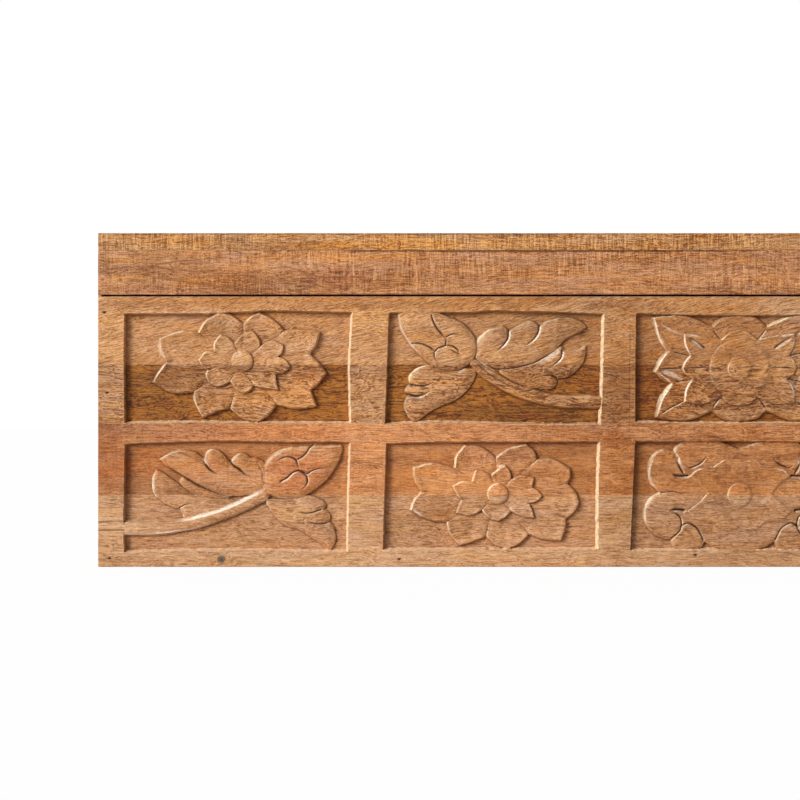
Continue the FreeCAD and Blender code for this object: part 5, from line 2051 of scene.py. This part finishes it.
BROWN_BOARD = CarvedFinish(
    "front_wood_brown", (183, 132, 87), seed=3.0, figure=0.8, streak=1.5, mottle=0.8, pore=0.34, wave=1.5,
    lines=1.4, dash=1.15, grain=1.1, floor_strength=0.4, carved_strength=0.3, carved=(177, 123, 75),
    floor=(148, 89, 24),
    drift=((98.0, 1.0), (350.0, 1.06), (560.0, 1.0), (612.0, 0.74), (702.0, 0.92), (870.0, 0.95)),
    patches=patched(
        (640, 395, 70, 60, (0.98, 0.85, 0.66), 1.0), (532, 414, 12, 4, (1.1, 0.86, 0.7), 0.6),
        (176, 377, 30, 15, (0.69, 0.62, 0.51), 0.9), (252, 398, 30, 22, (1.04, 0.98, 0.8), 0.8),
        (304, 386, 24, 18, (1.12, 1.02, 0.8), 0.8), (427, 403, 20, 13, (0.85, 0.83, 0.85), 1.0),
        (520, 413, 84, 12, (0.74, 0.72, 0.7), 1.0), (530, 380, 60, 14, (0.86, 0.82, 0.76), 0.8),
        (618, 392, 18, 46, (0.93, 0.89, 0.84), 1.0), (160, 408, 46, 18, (0.9, 0.9, 0.84), 0.9),
        (338, 394, 12, 32, (0.91, 0.9, 0.91), 0.9), (647, 398, 10, 26, (1.06, 1.14, 1.1), 0.9),
        (214, 401, 16, 12, (0.99, 0.91, 0.77), 0.9),
    ),
)
HONEY_BOARD = CarvedFinish(
    "front_wood_honey", (198, 144, 93), seed=4.0, figure=0.6, streak=0.5, mottle=0.8, pore=0.18, tilt=14.0,
    dash=0.95, floor_strength=-0.05, carved_strength=0.0, carved=(191, 137, 89), floor=(188, 134, 85),
    drift=((98.0, 1.04), (350.0, 1.06), (480.0, 0.98), (600.0, 0.82), (870.0, 0.88)),
    patches=patched(
        (340, 303, 330, 9, (0.81, 0.7, 0.55), 1.0), (618, 345, 18, 50, (1.0, 0.93, 0.82), 1.0),
        (540, 330, 60, 26, (0.9, 0.9, 0.92), 0.9), (690, 340, 110, 60, (0.97, 0.86, 0.7), 1.0),
        (148, 334, 20, 13, (1.12, 1.14, 1.2), 0.8), (222, 328, 26, 10, (0.87, 0.9, 0.92), 1.0),
        (300, 342, 24, 14, (1.14, 1.16, 1.14), 0.8), (650, 348, 12, 24, (0.92, 0.9, 0.83), 0.9),
        (221, 347, 13, 9, (0.87, 0.91, 0.91), 0.9),
    ),
)


@dataclass
class Chest:
    """The body: carved front, plain back and ends, and floor."""

    plan: NailPlan = field(default_factory=NailPlan)
    body: str = "chest"
    floor_pitch: float = 8.0
    fronts: tuple[CarvedFinish, ...] = (PALE_BOARD, RED_BOARD, BROWN_BOARD, HONEY_BOARD)
    back_finish: WoodFinish = WoodFinish(
        "back_wood", (180, 130, 86), seed=11.0, sawn=0.4, mottle=1.2, board_change=0.4
    )
    side_finish: WoodFinish = WoodFinish(
        "side_wood", (190, 140, 94), Along.DEPTH, seed=12.0, sawn=0.3, mottle=1.2, board_change=0.36,
        patches=END_GAP_SHADOW,
    )
    floor_finish: WoodFinish = WoodFinish(
        "floor_wood", (184, 140, 98), seed=13.0, sawn=0.3, board_change=0.3
    )

    def build(self) -> None:
        """Builds and dresses the whole body."""
        self.build_front()
        self.build_walls()

    def build_front(self) -> None:
        """Carves the front and gives each board its finish."""
        pits = tuple(Pit(spot, 2.3, 0.8, 0.5) for spot in self.plan.front())
        pits += (Pit(self.plan.round_spot(), self.plan.round_head + 0.3, 0.7),)
        for number, piece in enumerate(CarvedFront(pits=pits).build(), start=1):
            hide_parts(f"front_board_{number}")
            dress(piece, self.fronts[number - 1].material(), self.body)

    def build_walls(self) -> None:
        """Builds the back, the ends and the floor."""
        back, side, floor = (
            finish.material() for finish in (self.back_finish, self.side_finish, self.floor_finish)
        )
        for number in range(1, 4):
            node = f"back_board_{number}"
            low, high = (corner[2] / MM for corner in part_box(node))
            pits = tuple(Pit(spot) for spot in self.plan.back() if low < spot[2] < high)
            plank = Plank(node, Along.WIDTH, number, pits=pits, joint_axis=2, joint_low=number > 1)
            dress(plank.build(), back, self.body)
        redress("back_board_4", back)
        for way, name in ((-1, "left"), (1, "right")):
            for number in range(1, 5):
                pits = tuple(Pit(spot) for spot in self.plan.end(way)) if number == 1 else ()
                plank = Plank(
                    f"{name}_side_board_{number}", Along.DEPTH, number + 5 * (way + 2), pits=pits,
                    pit_axis=0, joint_axis=2, joint_low=number > 1, joint_high=number < 4,
                )
                dress(plank.build(), side, self.body)
        for number in range(1, 5):
            node = f"floor_board_{number}"
            plank = Plank(node, Along.WIDTH, 30 + number, pitch=self.floor_pitch, joint_axis=1)
            dress(plank.build(), floor, self.body)


@dataclass
class Lid:
    """The lid: five boards on a skirt of four rails, with two battens."""

    plan: NailPlan = field(default_factory=NailPlan)
    body: str = "lid"
    top_finish: WoodFinish = WoodFinish(
        "lid_top_wood", (197, 143, 89), seed=21.0, sawn=1.0, streak=0.6, mottle=0.8, pore=0.24, gold=0.3,
        hue=1.3, board_change=0.1, relief=1.4, patches=patched(
            (385, 246, 140, 7, (1.08, 0.98, 0.68), 0.9), (645, 246, 40, 5, (1.1, 1.0, 0.68), 0.9),
            (400, 234.0, 420, 1.3, (0.66, 0.6, 0.54), 0.9),
        ),
    )
    skirt_finish: WoodFinish = WoodFinish(
        "lid_skirt_wood", (185, 128, 82), seed=22.0, sawn=0.9, streak=0.6, mottle=0.8, pore=0.24, gold=0.1,
        hue=1.2, relief=1.4,
        patches=patched(
            (122, 260, 14, 3.5, (1.14, 1.04, 0.6), 0.9), (120, 278, 24, 3, (1.16, 1.04, 0.58), 0.9),
            (205, 281, 34, 6, (1.12, 1.02, 0.66), 0.9), (240, 272, 50, 9, (1.08, 1.02, 0.86), 0.8),
            (360, 256, 90, 3.5, (1.12, 1.03, 0.74), 0.8), (124, 269, 8, 4, (0.86, 0.78, 0.86), 0.9),
            (150, 289, 40, 5, (0.88, 0.8, 0.9), 0.9), (160, 270, 26, 5, (0.86, 0.8, 0.84), 0.8),
            (338, 276, 40, 12, (0.9, 0.8, 0.78), 0.8), (600, 270, 140, 20, (1.06, 1.08, 1.1), 0.7),
            # The next patch is a painted shadow along the gap under the skirt; the one after it is a
            # painted shadow under the top boards' edge.
            (500, 294.2, 430, 0.9, (0.5, 0.36, 0.28), 0.9),
            (530, 250.9, 260, 1.7, (0.36, 0.28, 0.22), 1.0), (150, 272, 76, 26, (0.92, 0.92, 0.87), 0.8),
        ),
        veins=(
            Vein((131, 273), (192, 284), (270, 291.5)), Vein((130, 272), (162, 262.5), (206, 260.6)),
            Vein((277, 265), (300, 270), (320, 277.5)), Vein((316, 277.5), (340, 277), (368, 277.4)),
            Vein((290, 291), (304, 288.5), (320, 282.5)), Vein((175, 265), (196, 262.8), (212, 264.0), 0.4),
        ),
    )
    side_finish: WoodFinish = WoodFinish(
        "lid_end_wood", (186, 130, 84), Along.DEPTH, seed=23.0, sawn=0.5, relief=1.2, patches=END_GAP_SHADOW
    )
    batten_finish: WoodFinish = WoodFinish("batten_wood", (190, 145, 102), Along.DEPTH, seed=24.0, sawn=0.4)

    def build(self) -> None:
        """Builds and dresses the whole lid."""
        top, skirt, end, batten = (
            finish.material()
            for finish in (self.top_finish, self.skirt_finish, self.side_finish, self.batten_finish)
        )
        for number in range(1, 6):
            node = f"lid_board_{number}"
            low, high = (corner[1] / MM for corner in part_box(node))
            pits = tuple(Pit(spot) for spot in self.plan.lid() if low < spot[1] < high)
            plank = Plank(
                node, Along.WIDTH, 40 + number, worn=0.9, pits=pits, pit_axis=2, joint_axis=1,
                joint_low=number > 1, joint_high=number < 5,
            )
            dress(plank.build(), top, self.body)
        front = Plank("lid_front_rail", Along.WIDTH, 50, worn=0.6)
        dress(front.build(), skirt, self.body)
        redress("lid_back_rail", skirt)
        for name, seed in (("left", 51), ("right", 52)):
            rail = Plank(f"lid_{name}_rail", Along.DEPTH, seed, worn=0.7)
            dress(rail.build(), end, self.body)
            strip = Plank(f"lid_batten_{name}", Along.DEPTH, seed + 2, worn=1.2)
            dress(strip.build(), batten, self.body)


@dataclass
class Ironwork:
    """Hinges, screws and nails."""

    plan: NailPlan = field(default_factory=NailPlan)
    lid_nail: float = 32.0

    def build(self) -> None:
        """Dresses the hinges and drives the nails."""
        hinge = steel_material("hinge_steel", (150, 144, 134), 0.35)
        screw = steel_material("screw_steel", (160, 154, 142), 0.2)
        iron = steel_material("nail_iron", (118, 104, 92), 0.4, 0.3)
        rusty = steel_material("nail_rust", (96, 62, 40), 1.0)
        for side in ("left", "right"):
            for part in ("hinge_body_leaf", "hinge_lid_leaf", "hinge_pin"):
                redress(f"{side}_{part}", hinge)
        for node in ("body_hinge_screws", "lid_hinge_screws"):
            redress(node, screw)
        forwards = (0.0, -1.0, 0.0)
        groups = (
            Nails("front_nails", "chest", self.plan.front(), forwards, sunk=0.5),
            Nails("back_nails", "chest", self.plan.back(), (0.0, 1.0, 0.0), seed=4),
            Nails("left_side_nails", "chest", self.plan.end(-1), (-1.0, 0.0, 0.0), seed=5),
            Nails("right_side_nails", "chest", self.plan.end(1), (1.0, 0.0, 0.0), seed=6),
            Nails("lid_nails", "lid", self.plan.lid(), (0.0, 0.0, 1.0), self.lid_nail, seed=7),
        )
        for group in groups:
            dress(group.build(rusty), rusty, group.body)
        large = Nails(
            "front_nails", "chest", (self.plan.round_spot(),), forwards, head=self.plan.round_head,
            squash=1.0, sunk=0.5, name="front_round_nail_driven",
        )
        dress(large.build(iron), iron, large.body)


# Studio

@dataclass
class Studio:
    """A pale floor, soft light from the upper left, and the camera straight in front."""

    middle_pixel: float = 400.0
    frame_pixels: float = 800.0
    lens: float = 100.0
    sensor: float = 36.0
    floor_half: float = 12.0
    floor_glow: float = 0.97
    key_strength: float = 2.75
    key_way: Spot = (-0.88, -1.0, 0.5)
    key_angle: float = 25.0
    front_fill: float = 0.28
    back_fill: float = 0.85

    def build(self) -> None:
        """Builds the whole studio."""
        self.floor()
        self.light()
        self.world()
        self.camera()

    def floor(self) -> None:
        """Lays a pale floor."""
        half = self.floor_half
        mesh = bpy.data.meshes.new("studio_floor")
        corners = [(-half, -half, 0.0), (half, -half, 0.0), (half, half, 0.0), (-half, half, 0.0)]
        mesh.from_pydata(corners, [], [(0, 1, 2, 3)])
        recipe = Recipe(bpy.data.materials.new("pale_floor"))
        tone = recipe.mix(recipe.noise((1.2, 1.2, 1.2)), (0.86, 0.86, 0.86, 1), (0.88, 0.88, 0.875, 1))
        matt = recipe.add("ShaderNodeBsdfPrincipled", {}, {"Base Color": tone, "Roughness": 0.9})
        glow = recipe.add("ShaderNodeEmission", {}, {"Color": WHITE, "Strength": 1.0})
        seen = recipe.add("ShaderNodeLightPath", {}, {}, "Is Camera Ray") * self.floor_glow
        both = recipe.add("ShaderNodeMixShader", {}, {0: seen, 1: matt, 2: glow})
        recipe.node("ShaderNodeOutputMaterial", {}, {"Surface": both})
        mesh.materials.append(recipe.block)
        new_piece("studio_floor", mesh)

    def light(self) -> None:
        """Hangs the key light."""
        data = bpy.data.lights.new("key_light", "SUN")
        data.energy = self.key_strength
        data.angle = math.radians(self.key_angle)
        data.color = (1.0, 0.985, 0.96)
        lamp = new_piece("key_light", data)
        lamp.rotation_euler = Vector(self.key_way).to_track_quat("Z", "Y").to_euler()

    def world(self) -> None:
        """Fills the studio with soft light, brighter from behind, in front of a white backdrop."""
        world = bpy.data.worlds.new("studio")
        bpy.context.scene.world = world
        recipe = Recipe(world)
        behind = recipe.axis(recipe.add("ShaderNodeTexCoord", {}, {}, "Generated"), "Y")
        reach = {"From Min": -0.2, "From Max": 0.8, "To Min": self.front_fill, "To Max": self.back_fill}
        spread = recipe.add("ShaderNodeMapRange", {}, {"Value": behind, **reach})
        fill = recipe.add("ShaderNodeBackground", {}, {"Color": WHITE, "Strength": spread})
        white = recipe.add("ShaderNodeBackground", {}, {"Color": WHITE, "Strength": 1.0})
        seen = recipe.add("ShaderNodeLightPath", {}, {}, "Is Camera Ray")
        choice = recipe.add("ShaderNodeMixShader", {}, {0: seen, 1: fill, 2: white})
        recipe.node("ShaderNodeOutputWorld", {}, {"Surface": choice})

    def camera(self) -> None:
        """Sets the camera at the photograph's viewing angle."""
        distance = self.frame_pixels * PLANE.pixel * self.lens / self.sensor
        data = bpy.data.cameras.new("photo_camera")
        data.lens = self.lens
        data.sensor_width = self.sensor
        camera = new_piece("photo_camera", data)
        place = (PLANE.x(self.middle_pixel), PLANE.front - distance, PLANE.z(self.middle_pixel))
        camera.location = tuple(part * MM for part in place)
        camera.rotation_euler = (math.radians(90), 0, 0)
        bpy.context.scene.camera = camera
        bpy.context.scene.view_settings.view_transform = "Standard"


def main() -> None:
    """Builds the chest and the studio."""
    logging.basicConfig(level=logging.INFO, format="%(message)s")
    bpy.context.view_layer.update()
    Chest().build()
    Lid().build()
    Ironwork().build()
    Studio().build()


if __name__ == "__main__":
    main()
